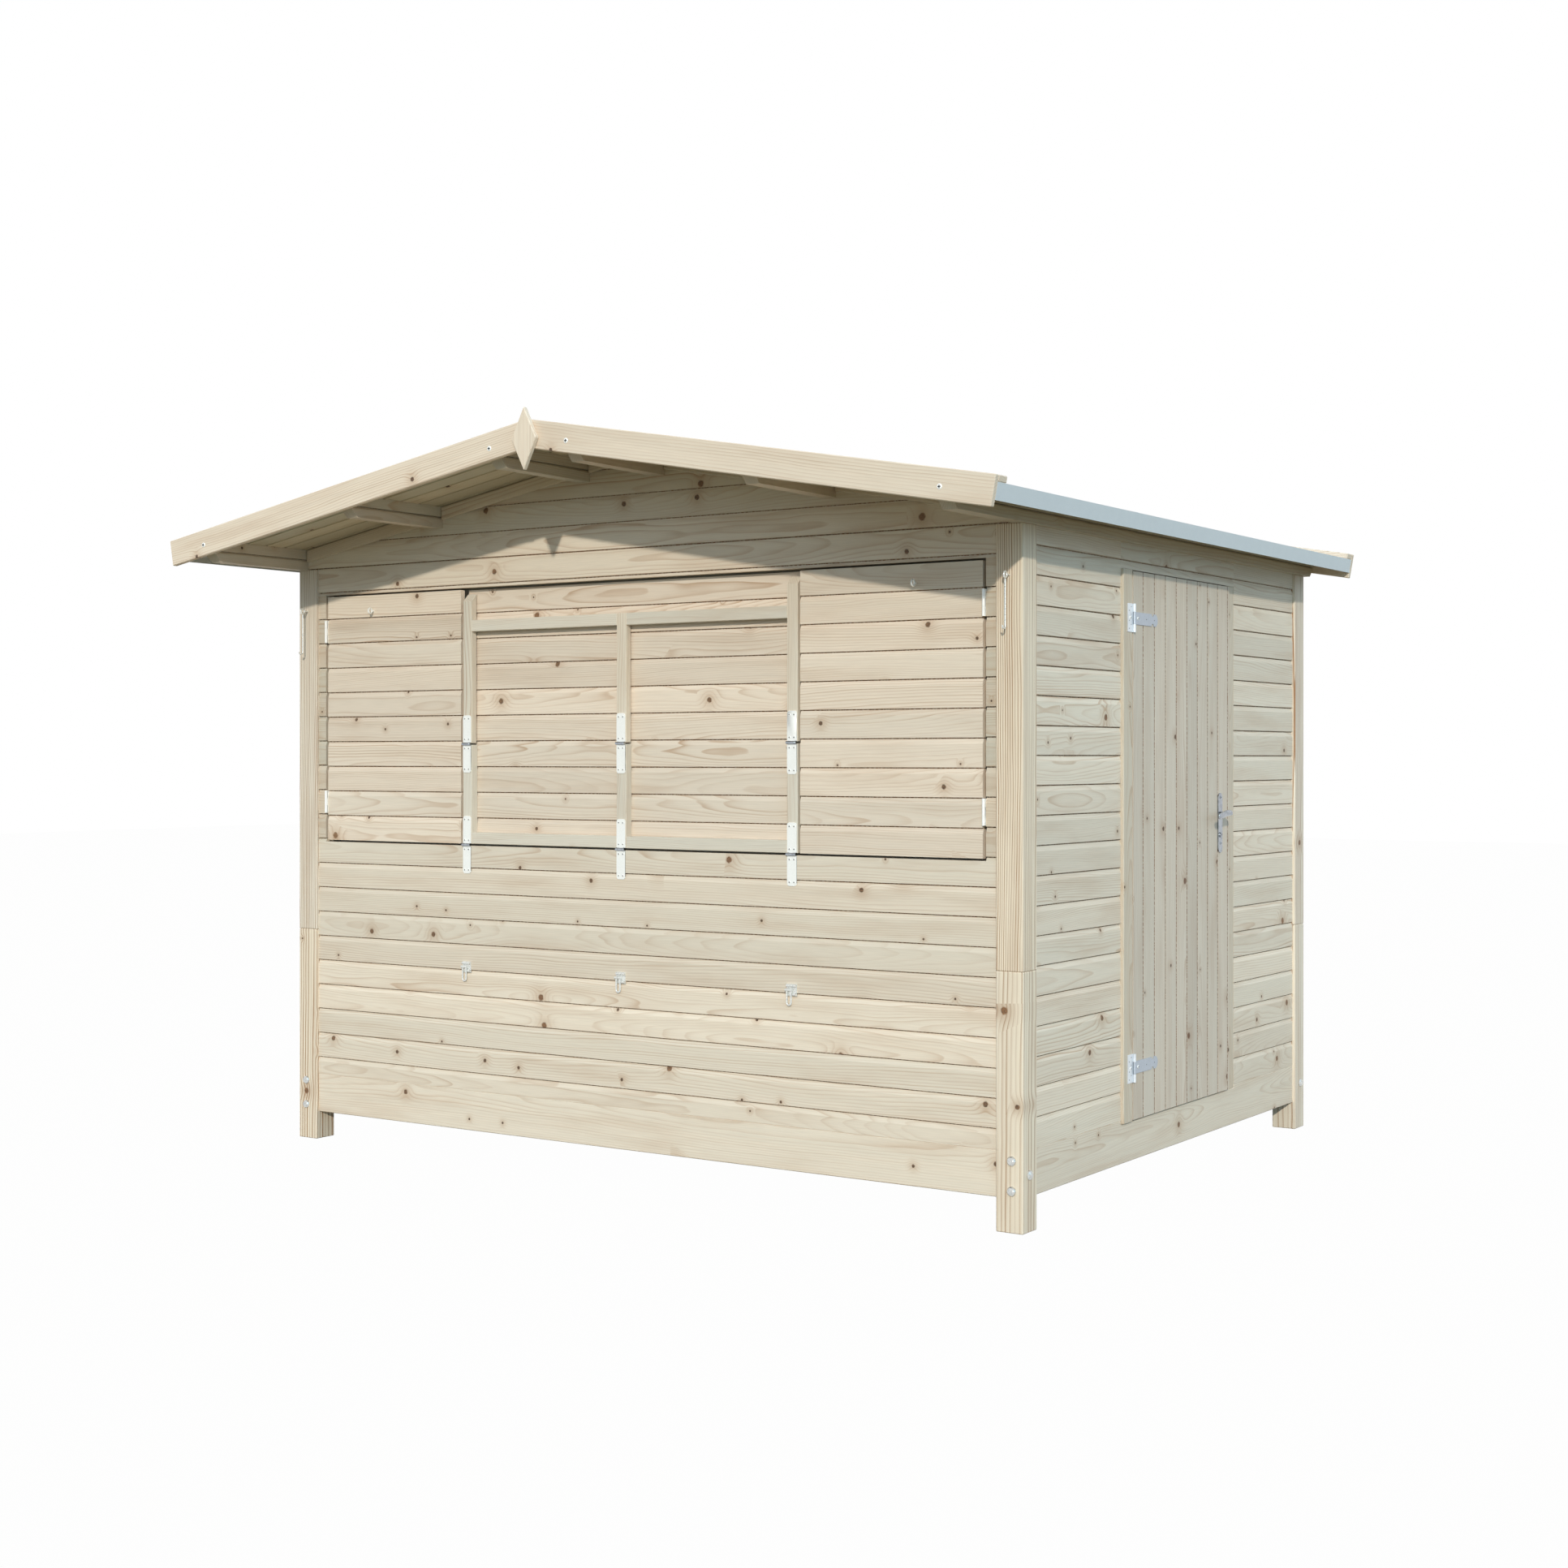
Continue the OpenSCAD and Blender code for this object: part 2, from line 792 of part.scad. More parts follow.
// Strap outline along the door from the hinge line: a waist, then a round tip
module tee_outline() {
  tip = tee_len - tee_strap_h / 2;
  neck = tip - tee_strap_h / 2;
  waist = 0.42 * tee_strap_h;
  difference() {
    union() {
      translate([0, -tee_strap_h / 2])
        square([tip, tee_strap_h]);
      translate([tip, 0])
        circle(d = tee_strap_h);
    }
    for (edge = [-1, 1])
      translate([neck, edge * tee_strap_h / 2])
        circle(d = waist);
  }
}

module door_hinge_straps() {
  half = tee_strap_h / 2 - hinge_clear;
  color(zinc)
    at_tees()
      difference() {
        union() {
          translate([leaf_t - axis_off, 0, 0])
            rotate([90, 0, -90])
              linear_extrude(leaf_t)
                mirror([1, 0])
                  difference() {
                    tee_outline();
                    translate([-1, -tee_h])
                      square([axis_off + 1, 2 * tee_h]);
                  }
          span([-axis_off, leaf_t - axis_off], [0, axis_off], [-half, half]);
          upright_barrel([-half, half], knuckle_d);
        }
        upright_barrel([-tee_h, tee_h], pin_d + 2 * hinge_clear);
      }
}

module door_hinge_plates() {
  inner = tee_strap_h / 2;
  outer = tee_h / 2;
  color(zinc)
    at_tees() {
      span([-axis_off, leaf_t - axis_off], [-tee_w, -axis_off], [-outer, outer]);
      for (z = [[-outer, -inner], [inner, outer]]) {
        span([-axis_off, leaf_t - axis_off], [-axis_off, 0], z);
        upright_barrel(z, knuckle_d);
      }
      upright_barrel([-outer, outer], pin_d);
    }
}

// Long lock plate with round ends and a keyhole boss, bored for the lever's spindle
module door_lock_plate() {
  low = lock_above - lock_h + lock_w / 2;
  high = lock_above - lock_w / 2;
  color(chrome)
    translate([door_face_x, lock_y, lever_z])
      rotate([90, 0, 90])
        difference() {
          union() {
            linear_extrude(lock_t) {
              translate([-lock_w / 2, low])
                square([lock_w, high - low]);
              for (z = [low, high])
                translate([0, z])
                  circle(d = lock_w);
            }
            translate([0, -lock_above, 0])
              cylinder(d = lock_w / 2, h = 2 * lock_t);
          }
          translate([0, 0, -1])
            cylinder(d = lever_bore, h = lock_t + 2);
        }
}

// Lever: a neck out of the lock plate, a bend and a grip towards the hinges
module door_lever() {
  bend_x = lever_out - lever_bend;
  color(chrome)
    translate([door_face_x, lock_y, lever_z]) {
      translate([hinge_clear, 0, 0])
        rotate([0, 90, 0])
          cylinder(d = lever_d, h = bend_x - hinge_clear);
      translate([bend_x, -lever_bend, 0])
        rotate_extrude(angle = 90)
          translate([lever_bend, 0])
            circle(d = lever_d);
      translate([lever_out, -lever_bend, 0])
        rotate([90, 0, 0])
          cylinder(d = lever_d, h = lever_len - lever_bend);
      translate([lever_out, -lever_len, 0])
        sphere(d = lever_d);
    }
}

// Latch plates on the wall, each with two rolled bars and a loop that hangs at its left edge
module brace_latches() {
  loop_x = -latch_w / 2 + loop_r + wire_d / 2;
  loop_y = -latch_t - wire_d / 2 - 0.5;
  bar_d = wire_d + 3;
  roll_y = -latch_roll_d / 2 - 0.5;
  color(zinc)
    for (x = strap_x)
      translate([x, wall_y, foot_low - latch_gap]) {
        span([-latch_w / 2, latch_w / 2], [-latch_t, 0], [-latch_w, 0]);
        translate([0, roll_y, -latch_roll_d / 2 - 1])
          barrel([-latch_w / 2 + 1, latch_w / 2 - 1], latch_roll_d);
        translate([0, roll_y, -latch_w + latch_roll_d / 2 + 1])
          barrel([loop_x + loop_r + wire_d, latch_w / 2 - 1], latch_roll_d);
        translate([loop_x, loop_y, -latch_w / 2]) {
          barrel([-loop_r - wire_d, loop_r + wire_d], bar_d);
          for (end = [-1, 1])
            translate([end * loop_r, 0, -loop_len])
              cylinder(d = wire_d, h = loop_len);
          translate([0, 0, -loop_len])
            rotate([-90, 0, 0])
              rotate_extrude(angle = 180)
                translate([loop_r, 0])
                  circle(d = wire_d);
        }
      }
}

// Cabin hooks that hang from eyes on the front posts
module cabin_hooks() {
  top = -eye_r - wire_d / 2 - hinge_clear;
  tail = hook_len - 2 * eye_r;
  color(zinc)
    for (side = [-1, 1])
      on_side(side)
        translate([side_x - post_w / 2, front_y, post_h - hook_drop]) {
          screw_eye(hook_out);
          translate([0, -hook_out, -tail])
            cylinder(d = hook_d, h = tail + top);
          translate([0, -hook_out - eye_r, -tail])
            rotate([-90, 0, 90])
              rotate_extrude(angle = 180)
                translate([eye_r, 0])
                  circle(d = hook_d);
        }
}

corner_post(-1, front_y);  // front_left_post
corner_post(1, front_y);  // front_right_post
corner_post(-1, rear_y - post_w);  // rear_left_post
corner_post(1, rear_y - post_w);  // rear_right_post
front_skirt();
rear_skirt();
left_skirt();
right_skirt();
floor_frame();
floor_boards();
front_wall();
front_gable();
rear_wall();
left_wall();
right_wall_front();
right_wall_rear();
right_wall_over_door();
front_jamb(-1);  // left_jamb
front_jamb(1);  // right_jamb
opening_rails();
door_hinge_jamb();
door_latch_jamb();
purlin(-1, eave_purlin_x);  // left_eave_purlin
purlin(1, eave_purlin_x);  // right_eave_purlin
purlin(-1, mid_purlin_x);  // left_mid_purlin
purlin(1, mid_purlin_x);  // right_mid_purlin
purlin(-1, ridge_purlin_x);  // left_ridge_purlin
purlin(1, ridge_purlin_x);  // right_ridge_purlin
roof_deck(-1);  // left_roof_deck
roof_deck(1);  // right_roof_deck
roof_sheet(-1);  // left_roof_sheet
roof_sheet(1);  // right_roof_sheet
barge(-1, barge_y);  // front_left_barge
barge(1, barge_y);  // front_right_barge
barge(-1, roof_y1);  // rear_left_barge
barge(1, roof_y1);  // rear_right_barge
cap_strips(roof_y0);  // front_cap_strips
cap_strips(roof_y1 - cap_w);  // rear_cap_strips
finial();
door_leaf();
door_hinge_straps();
door_hinge_plates();
door_lock_plate();
door_lever();
shutter(-1);  // left_shutter
shutter(1);  // right_shutter
shutter_fittings(-1);  // left_shutter_fittings
shutter_fittings(1);  // right_shutter_fittings
jamb_hinge_leaves();
counter_panel();
counter_battens();
counter_hinge_leaves();
brace_frame();
brace_hinge_leaves();
sill_hinge_leaves();
brace_latches();
cabin_hooks();
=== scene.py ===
import json
import math
import random

import bmesh
import bpy
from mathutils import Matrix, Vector


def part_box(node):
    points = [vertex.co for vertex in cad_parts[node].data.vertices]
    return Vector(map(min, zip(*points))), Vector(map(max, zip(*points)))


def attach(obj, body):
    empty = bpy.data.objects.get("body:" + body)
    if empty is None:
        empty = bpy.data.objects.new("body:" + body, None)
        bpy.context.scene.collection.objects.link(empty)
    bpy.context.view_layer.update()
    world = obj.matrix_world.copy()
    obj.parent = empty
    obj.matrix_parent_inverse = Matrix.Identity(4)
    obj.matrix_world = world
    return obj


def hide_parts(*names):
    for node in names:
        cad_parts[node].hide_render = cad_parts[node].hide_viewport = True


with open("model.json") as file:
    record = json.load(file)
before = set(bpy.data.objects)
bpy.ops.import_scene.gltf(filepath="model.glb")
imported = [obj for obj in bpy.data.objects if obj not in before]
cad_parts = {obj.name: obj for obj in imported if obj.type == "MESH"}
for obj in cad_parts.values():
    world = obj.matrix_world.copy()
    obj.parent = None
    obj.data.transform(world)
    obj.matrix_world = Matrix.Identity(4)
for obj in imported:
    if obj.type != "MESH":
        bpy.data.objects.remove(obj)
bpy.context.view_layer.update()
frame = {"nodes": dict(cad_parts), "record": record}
nodes = frame["nodes"]
scene = bpy.context.scene
scene.view_settings.view_transform = "Standard"
print("frame loaded:", len(nodes), "nodes")

bodyOf = {node: body for body, held in frame["record"]["behaviour"]["bodies"].items() for node in held}

# Ways of the frame, seen by someone who stands before the counter
right = Vector((1, 0, 0))
rear = Vector((0, 1, 0))
up = Vector((0, 0, 1))
left = -right
front = -rear
sides = ((-1, "left"), (1, "right"))
ends = (("front", front), ("rear", rear))


def camel(node):  # front_left_post to frontLeftPost
    first, *rest = node.split("_")
    return first + "".join(word.title() for word in rest)


def tint(red, green, blue):  # 8-bit screen colour to the linear colour that sockets take
    linear = []
    for value in (red, green, blue):
        share = value / 255
        linear.append(share / 12.92 if share <= 0.04045 else ((share + 0.055) / 1.055) ** 2.4)
    return (*linear, 1.0)


# Camera, at the photograph's viewing angle
view = {
    "place": (4.4838, -6.6888, 1.4014),
    "turn": (math.pi / 2, 0, 0.5927),
    "sensor": 36,
    "lens": 50.23,
    "shift": (0.00568, -0.01675),
}
camera = bpy.data.objects.new("camera", bpy.data.cameras.new("camera"))
scene.collection.objects.link(camera)
camera.location = view["place"]
camera.rotation_euler = view["turn"]
camera.data.sensor_width = view["sensor"]
camera.data.lens = view["lens"]
camera.data.shift_x, camera.data.shift_y = view["shift"]
scene.camera = camera


# Small helpers for node trees
def feed(tree, socket, value):  # links a socket, or sets a plain value
    if isinstance(value, bpy.types.NodeSocket):
        tree.links.new(value, socket)
    else:
        socket.default_value = value


def addNode(tree, kind, inputs=None, **settings):  # inputs: what feeds a socket, by its name or place
    node = tree.nodes.new(kind)
    for name, value in settings.items():
        setattr(node, name, value)
    for name, value in (inputs or {}).items():
        feed(tree, node.inputs[name], value)
    return node


def addSockets(tree, way, kind, *names):
    for name in names:
        tree.interface.new_socket(name, in_out=way, socket_type="NodeSocket" + kind)


def calc(tree, operation, *values):
    return addNode(tree, "ShaderNodeMath", dict(enumerate(values)), operation=operation).outputs[0]


def stretch(tree, parts, scales):  # a vector with each part scaled by itself
    scaled = [calc(tree, "MULTIPLY", part, scale) for part, scale in zip(parts, scales)]
    return addNode(tree, "ShaderNodeCombineXYZ", dict(enumerate(scaled))).outputs[0]


def splitVector(tree, vector):
    return addNode(tree, "ShaderNodeSeparateXYZ", {0: vector}).outputs


def cloud(tree, vector, scale=1.0, detail=2.0):
    inputs = {"Vector": vector, "Scale": scale, "Detail": detail}
    return addNode(tree, "ShaderNodeTexNoise", inputs, noise_dimensions="3D").outputs["Fac"]


def ramp(tree, value, low, high, toLow, toHigh):  # eased step between two levels
    inputs = {"Value": value, "From Min": low, "From Max": high, "To Min": toLow, "To Max": toHigh}
    return addNode(tree, "ShaderNodeMapRange", inputs, interpolation_type="SMOOTHSTEP").outputs[0]


def blendColour(tree, share, first, second, kind="MIX"):
    inputs = {0: share, 6: first, 7: second}
    return addNode(tree, "ShaderNodeMix", inputs, data_type="RGBA", blend_type=kind).outputs[2]


def cellPattern(tree, vector, cell, dimensions):  # distance to a cell's middle, and the cell's random colour
    inputs = {"Vector": vector, "Scale": 1 / cell}
    node = addNode(tree, "ShaderNodeTexVoronoi", inputs, voronoi_dimensions=dimensions, feature="F1")
    lot = addNode(tree, "ShaderNodeSeparateColor", {0: node.outputs["Color"]})
    return node.outputs["Distance"], lot.outputs


def bumpInto(tree, height, shader, strength, depth):
    relief = addNode(tree, "ShaderNodeBump", {"Strength": strength, "Distance": depth, "Height": height})
    tree.links.new(relief.outputs["Normal"], shader.inputs["Normal"])


def newFinish(name):  # a material, its tree and its shader
    material = bpy.data.materials.new(name)
    material.use_nodes = True
    return material, material.node_tree, material.node_tree.nodes["Principled BSDF"]


# Spruce: growth lines round a pith behind the board, fibres, and knots that push the lines aside
spruce = {
    "knotCell": 0.15,  # one knot at most in a square of this side
    "knotSmall": 0.0040,
    "knotSpread": 0.0105,
    "knotCore": 0.60,  # share of a knot that is fully dark
    "knotRagged": 0.007,
    "knotHeart": tint(50, 32, 20),
    "pushReach": 2.8,  # how far a knot pushes the lines, in knot sizes
    "pushDepth": 0.011,
    "haloShare": 0.38,
    "knotCover": 0.9,
    "smallDark": 0.30,  # how much darker the heart of a small knot is
    "hueShare": 0.9,
    "hueShift": -0.45,
    "pithNear": 0.018,
    "pithFar": 0.10,
    "ripple": 0.004,
    "lineRise": 4.5,
    "lineFall": 18.0,
    "yearStep": 57.0,  # sets the years of two boards apart
    "lineSmooth": -0.12,
    "relief": 0.5,
    "gloss": 0.35,
    "bumpStrength": 0.6,
    "bumpDepth": 0.0006,
}
# How fine each pattern is along, across and into the wood
patternScale = {
    "knotRagged": (110, 150, 110),
    "knotHeart": (240, 380, 240),
    "pith": (0.6, 0.0, 0.0),
    "drift": (1.4, 8, 8),
    "ripple": (5, 30, 30),
    "lineFade": (0.9, 22, 22),
    "fibre": (12, 480, 480),
    "blotch": (2.2, 17, 17),
    "mottle": (1.1, 26, 26),
    "seamDashes": (120, 0, 0),
}
# Eased steps: where a pattern's level starts and ends, and what it becomes there
patternStep = {
    "lineFade": (0.3, 0.7, 0.45, 1.0),
    "hue": (0.15, 0.85, 0.0, 1.0),
    "blotch": (0.42, 0.78, 0.0, 0.22),
    "knotHeart": (0.44, 0.72, 0.0, 0.88),
    "seamDashes": (0.42, 0.56, 0.45, 1.0),
}
# How far a level spreads, and the least it is
levelSpread = {
    "wobble": (0.8, 0.2),
    "pace": (0.7, 0.65),  # some trees grew faster
    "bold": (0.70, 0.60),  # some boards show their lines more
    "season": (0.85, 0.35),
    "fibre": (0.22, 0.89),
    "bright": (0.13, 0.92),
    "rough": (0.22, 0.50),
}
# Factors that draw a board's own share out of its tone
lotteryFactor = {"pace": 31.3, "bold": 13.7, "hue": 7.3}


def makeSpruceGroup():
    tree = bpy.data.node_groups.new("spruceGrain", "ShaderNodeTree")
    addSockets(tree, "INPUT", "Vector", "Grain")
    addSockets(tree, "INPUT", "Color", "Pale", "Cool", "Late", "Knot")
    addSockets(tree, "INPUT", "Float", "Tone", "Ring Pitch", "Wander", "Line Strength", "Knot Share")
    addSockets(tree, "OUTPUT", "Color", "Color")
    addSockets(tree, "OUTPUT", "Float", "Roughness", "Height")
    given = addNode(tree, "NodeGroupInput").outputs
    x, y, z = splitVector(tree, given["Grain"])

    def times(first, second):
        return calc(tree, "MULTIPLY", first, second)

    def timesPlus(first, second, third):
        return calc(tree, "MULTIPLY_ADD", first, second, third)

    def spread(level, name):
        return timesPlus(level, *levelSpread[name])

    def pattern(name, detail=2.0):
        return cloud(tree, stretch(tree, (x, y, z), patternScale[name]), detail=detail)

    def lottery(name):
        return calc(tree, "FRACT", times(given["Tone"], lotteryFactor[name]))

    # Knots: a cell's colour says whether it has one, and how big
    distance, lot = cellPattern(tree, given["Grain"], spruce["knotCell"], "2D")
    reach = times(distance, spruce["knotCell"])
    present = calc(tree, "LESS_THAN", lot[0], given["Knot Share"])
    big = times(lot[1], lot[1])
    size = timesPlus(big, spruce["knotSpread"], spruce["knotSmall"])
    wobble = timesPlus(pattern("knotRagged"), spruce["knotRagged"], -spruce["knotRagged"] / 2)
    wobble = times(wobble, spread(big, "wobble"))
    ragged = calc(tree, "ADD", reach, wobble)
    knot = times(ramp(tree, ragged, times(size, spruce["knotCore"]), size, 1.0, 0.0), present)
    relative = calc(tree, "DIVIDE", reach, times(size, spruce["pushReach"]))
    push = calc(tree, "EXPONENT", times(times(relative, relative), -1.0))
    push = times(push, present)

    # Growth lines: distance from the pith, in rings
    pith = timesPlus(pattern("pith", 1.0), spruce["pithFar"], spruce["pithNear"])
    deep = calc(tree, "ADD", z, pith)
    radius = calc(tree, "SQRT", timesPlus(y, y, times(deep, deep)))
    drift = calc(tree, "SUBTRACT", pattern("drift"), 0.5)
    radius = timesPlus(drift, given["Wander"], radius)
    radius = timesPlus(pattern("ripple", 1.0), spruce["ripple"], radius)
    radius = timesPlus(push, spruce["pushDepth"], radius)
    pace = spread(lottery("pace"), "pace")
    rings = calc(tree, "DIVIDE", radius, times(given["Ring Pitch"], pace))
    phase = calc(tree, "FRACT", rings)
    year = timesPlus(given["Tone"], spruce["yearStep"], calc(tree, "FLOOR", rings))
    season = addNode(tree, "ShaderNodeTexWhiteNoise", {"W": year}, noise_dimensions="1D")
    rise = calc(tree, "POWER", phase, spruce["lineRise"])
    fall = calc(tree, "SUBTRACT", 1.0, calc(tree, "POWER", phase, spruce["lineFall"]))
    fade = ramp(tree, pattern("lineFade"), *patternStep["lineFade"])
    fade = times(fade, spread(lottery("bold"), "bold"))
    fade = times(fade, spread(season.outputs["Value"], "season"))
    line = times(times(times(rise, fall), fade), given["Line Strength"])

    # Colour: sapwood, lines, blotches and halos, then fibres, knots, and the painted shade on the tongues in
    # the seams over them
    fibre = pattern("fibre")
    hue = calc(tree, "ADD", lottery("hue"), spruce["hueShift"])
    hue = timesPlus(pattern("mottle"), spruce["hueShare"], hue)
    hue = ramp(tree, hue, *patternStep["hue"])
    colour = blendColour(tree, hue, given["Pale"], given["Cool"])
    colour = blendColour(tree, line, colour, given["Late"])
    blotch = ramp(tree, pattern("blotch", 3.0), *patternStep["blotch"])
    colour = blendColour(tree, blotch, colour, given["Late"])
    colour = blendColour(tree, times(push, spruce["haloShare"]), colour, given["Late"])
    bright = calc(tree, "MAXIMUM", given["Tone"], 0.0)
    level = times(spread(fibre, "fibre"), spread(bright, "bright"))
    grey = addNode(tree, "ShaderNodeCombineColor", {0: level, 1: level, 2: level}).outputs[0]
    colour = blendColour(tree, 1.0, colour, grey, "MULTIPLY")
    small = times(calc(tree, "SUBTRACT", 1.0, big), spruce["smallDark"])
    heart = ramp(tree, calc(tree, "ADD", pattern("knotHeart"), small), *patternStep["knotHeart"])
    dark = blendColour(tree, heart, given["Knot"], spruce["knotHeart"])
    colour = blendColour(tree, times(knot, spruce["knotCover"]), colour, dark)
    # The tongue between two boards is painted in the knot's dark brown, broken into dashes: painted shade in
    # the joint
    seam = calc(tree, "LESS_THAN", given["Tone"], 0.0)  # the tongue between two boards
    shadeDashes = ramp(tree, pattern("seamDashes", 0.0), *patternStep["seamDashes"])
    colour = blendColour(tree, times(seam, shadeDashes), colour, given["Knot"])

    rough = timesPlus(line, spruce["lineSmooth"], spread(fibre, "rough"))
    height = timesPlus(line, spruce["relief"], times(fibre, spruce["relief"]))
    height = timesPlus(knot, spruce["relief"], height)
    addNode(tree, "NodeGroupOutput", {"Color": colour, "Roughness": rough, "Height": height})
    return tree


spruceGroup = makeSpruceGroup()


def woodFinish(
    name, pale, cool, late, knot, ringPitch=0.0050, lineStrength=1.0, knotShare=0.26, wander=0.020,
):
    material, tree, shader = newFinish(name)
    shader.inputs["Specular IOR Level"].default_value = spruce["gloss"]
    inputs = {
        "Grain": addNode(tree, "ShaderNodeAttribute", attribute_name="grain").outputs["Vector"],
        "Tone": addNode(tree, "ShaderNodeAttribute", attribute_name="tone").outputs["Fac"],
        "Pale": tint(*pale),
        "Cool": tint(*cool),
        "Late": tint(*late),
        "Knot": tint(*knot),
        "Ring Pitch": ringPitch,
        "Wander": wander,
        "Line Strength": lineStrength,
        "Knot Share": knotShare,
    }
    group = addNode(tree, "ShaderNodeGroup", inputs, node_tree=spruceGroup)
    tree.links.new(group.outputs["Color"], shader.inputs["Base Color"])
    tree.links.new(group.outputs["Roughness"], shader.inputs["Roughness"])
    bumpInto(tree, group.outputs["Height"], shader, spruce["bumpStrength"], spruce["bumpDepth"])
    return material


woods = {
    "wall_wood": woodFinish(
        "wallSpruce", (233, 220, 203), (228, 217, 201), (178, 138, 101), (132, 90, 56), knotShare=0.33,
    ),
    "leaf_wood": woodFinish("leafSpruce", (235, 220, 203), (230, 217, 201), (178, 138, 100), (136, 96, 60)),
    "post_wood": woodFinish(
        "postSpruce", (239, 225, 205), (233, 223, 208), (152, 103, 58), (138, 94, 58), 0.0085, 2.7,
        wander=0.012,
    ),
    "frame_wood": woodFinish("frameSpruce", (217, 203, 185), (209, 201, 185), (178, 142, 104), (102, 68, 42)),
    "floor_wood": woodFinish("floorSpruce", (210, 193, 167), (202, 191, 169), (166, 130, 92), (94, 62, 38)),
    "roof_wood": woodFinish("deckSpruce", (214, 201, 176), (206, 199, 178), (174, 140, 100), (100, 68, 42)),
    "trim_wood": woodFinish(
        "trimSpruce", (235, 219, 200), (230, 216, 198), (178, 136, 98), (112, 74, 46), 0.0060, knotShare=0.07,
    ),
    "batten_wood": woodFinish(
        "battenSpruce", (230, 220, 204), (223, 216, 203), (180, 142, 106), (136, 96, 62), knotShare=0.06,
    ),
}
doorWood = woodFinish(
    "doorSpruce", (221, 208, 193), (215, 204, 190), (164, 126, 94), (112, 72, 44), knotShare=0.42,
)
print("wood finishes made:", len(woods))

# Metals: scuffed roughness everywhere, zinc with its faint crystal patches
scuffs = {
    "scale": 160.0,
    "smearScale": 24.0,
    "patchShare": 0.4,
    "roughSpread": 0.22,
    "bumpStrength": 0.35,
    "bumpDepth": 0.0001,
}


def metalFinish(name, bright, dull, rough, patch=0.004, metallic=1.0, gloss=0.5):
    material, tree, shader = newFinish(name)
    shader.inputs["Metallic"].default_value = metallic
    shader.inputs["Specular IOR Level"].default_value = gloss
    place = addNode(tree, "ShaderNodeTexCoord").outputs["Object"]
    lot = cellPattern(tree, place, patch, "3D")[1]
    scuff = cloud(tree, place, scale=scuffs["scale"], detail=4.0)
    smear = cloud(tree, place, scale=scuffs["smearScale"], detail=3.0)
    smear = calc(tree, "MULTIPLY", smear, 1 - scuffs["patchShare"])
    mixed = calc(tree, "MULTIPLY_ADD", lot[0], scuffs["patchShare"], smear)
    tree.links.new(blendColour(tree, mixed, tint(*bright), tint(*dull)), shader.inputs["Base Color"])
    spread = calc(tree, "MULTIPLY_ADD", scuff, scuffs["roughSpread"], rough)
    tree.links.new(spread, shader.inputs["Roughness"])
    bumpInto(tree, scuff, shader, scuffs["bumpStrength"], scuffs["bumpDepth"])
    return material


metals = {
    "zinc": metalFinish("whiteZinc", (254, 254, 252), (244, 244, 242), 0.30, metallic=0.15),
    "steel": metalFinish("blueZinc", (187, 196, 206), (169, 178, 188), 0.30, metallic=0.8),
    "bright_metal": metalFinish("satinChrome", (186, 192, 198), (136, 142, 149), 0.08, patch=0.01),
    "roof_sheet": metalFinish(
        "coatedSheet", (221, 226, 231), (211, 217, 223), 0.50, patch=0.002, metallic=0.0, gloss=0.2,
    ),
}
boltZinc = metalFinish("boltZinc", (232, 232, 228), (176, 178, 178), 0.08, metallic=0.8)
plateZinc = metalFinish("plateZinc", (232, 237, 242), (212, 218, 224), 0.26, metallic=0.7)
latchZinc = metalFinish("latchZinc", (242, 242, 238), (208, 209, 207), 0.18, metallic=0.45)
# A dark finish, painted as the shade in screw recesses, open holes and the keyhole
paintedShadeFinish = metalFinish("screwRecess", (70, 70, 72), (40, 40, 42), 0.5)
print("metal finishes made")


# Each piece of the scene rides a body, and may stand in for a CAD node
def placePiece(mesh, name, body, slotName, node=None):
    piece = bpy.data.objects.new(name, mesh)
    scene.collection.objects.link(piece)
    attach(piece, body)
    if node:
        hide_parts(node)
    return piece


def makePiece(bm, name, body, slotName, finishes, node=None):
    mesh = bpy.data.meshes.new(name)
    bm.to_mesh(mesh)
    bm.free()
    for finish in finishes:
        mesh.materials.append(finish)
    return placePiece(mesh, name, body, slotName, node)


def closePrism(bm, first, last):  # faces round and over two rows of corners
    bm.faces.new(first)
    bm.faces.new(last[::-1])
    for i in range(len(first)):
        j = (i + 1) % len(first)
        bm.faces.new((first[i], last[i], last[j], first[j]))


# Wooden pieces are cut from their CAD solids, so outlines and notches stay true
cutting = {
    "weld": 2e-5,
    "flatAngle": 0.01,
    "onPlane": 1e-6,
    "near": 1e-5,
    "sharpAngle": 0.5,
    "facing": 0.9,
    "square": 0.99,
    "narrowest": 0.006,  # a seam this near an edge makes no board
}
# Where in its tree a board was cut, drawn at random within these limits
treePlace = {"along": 40, "across": 0.095, "deep": (-0.01, 0.02), "lanes": 40, "lane": 0.9}
# Tongues take this tone so that the wood shader paints them dark, as the shade in the joint
shadedTongueTone = -1.0  # below any board's tone: marks a tongue


def solidCopy(node):
    bm = bmesh.new()
    bm.from_mesh(nodes[node].data)
    bmesh.ops.remove_doubles(bm, verts=bm.verts[:], dist=cutting["weld"])
    bmesh.ops.dissolve_limit(bm, angle_limit=cutting["flatAngle"], verts=bm.verts[:], edges=bm.edges[:])
    return bm


def splitAt(bm, point, normal, clear):
    bmesh.ops.bisect_plane(
        bm, geom=bm.verts[:] + bm.edges[:] + bm.faces[:], dist=cutting["onPlane"],
        plane_co=point, plane_no=normal, clear_outer=clear,
    )


def trimTo(bm, point, normal):  # keeps what lies behind the plane, and closes the cut
    splitAt(bm, point, normal, True)
    rim = [edge for edge in bm.edges if edge.is_boundary]
    if rim:
        bmesh.ops.holes_fill(bm, edges=rim, sides=0)


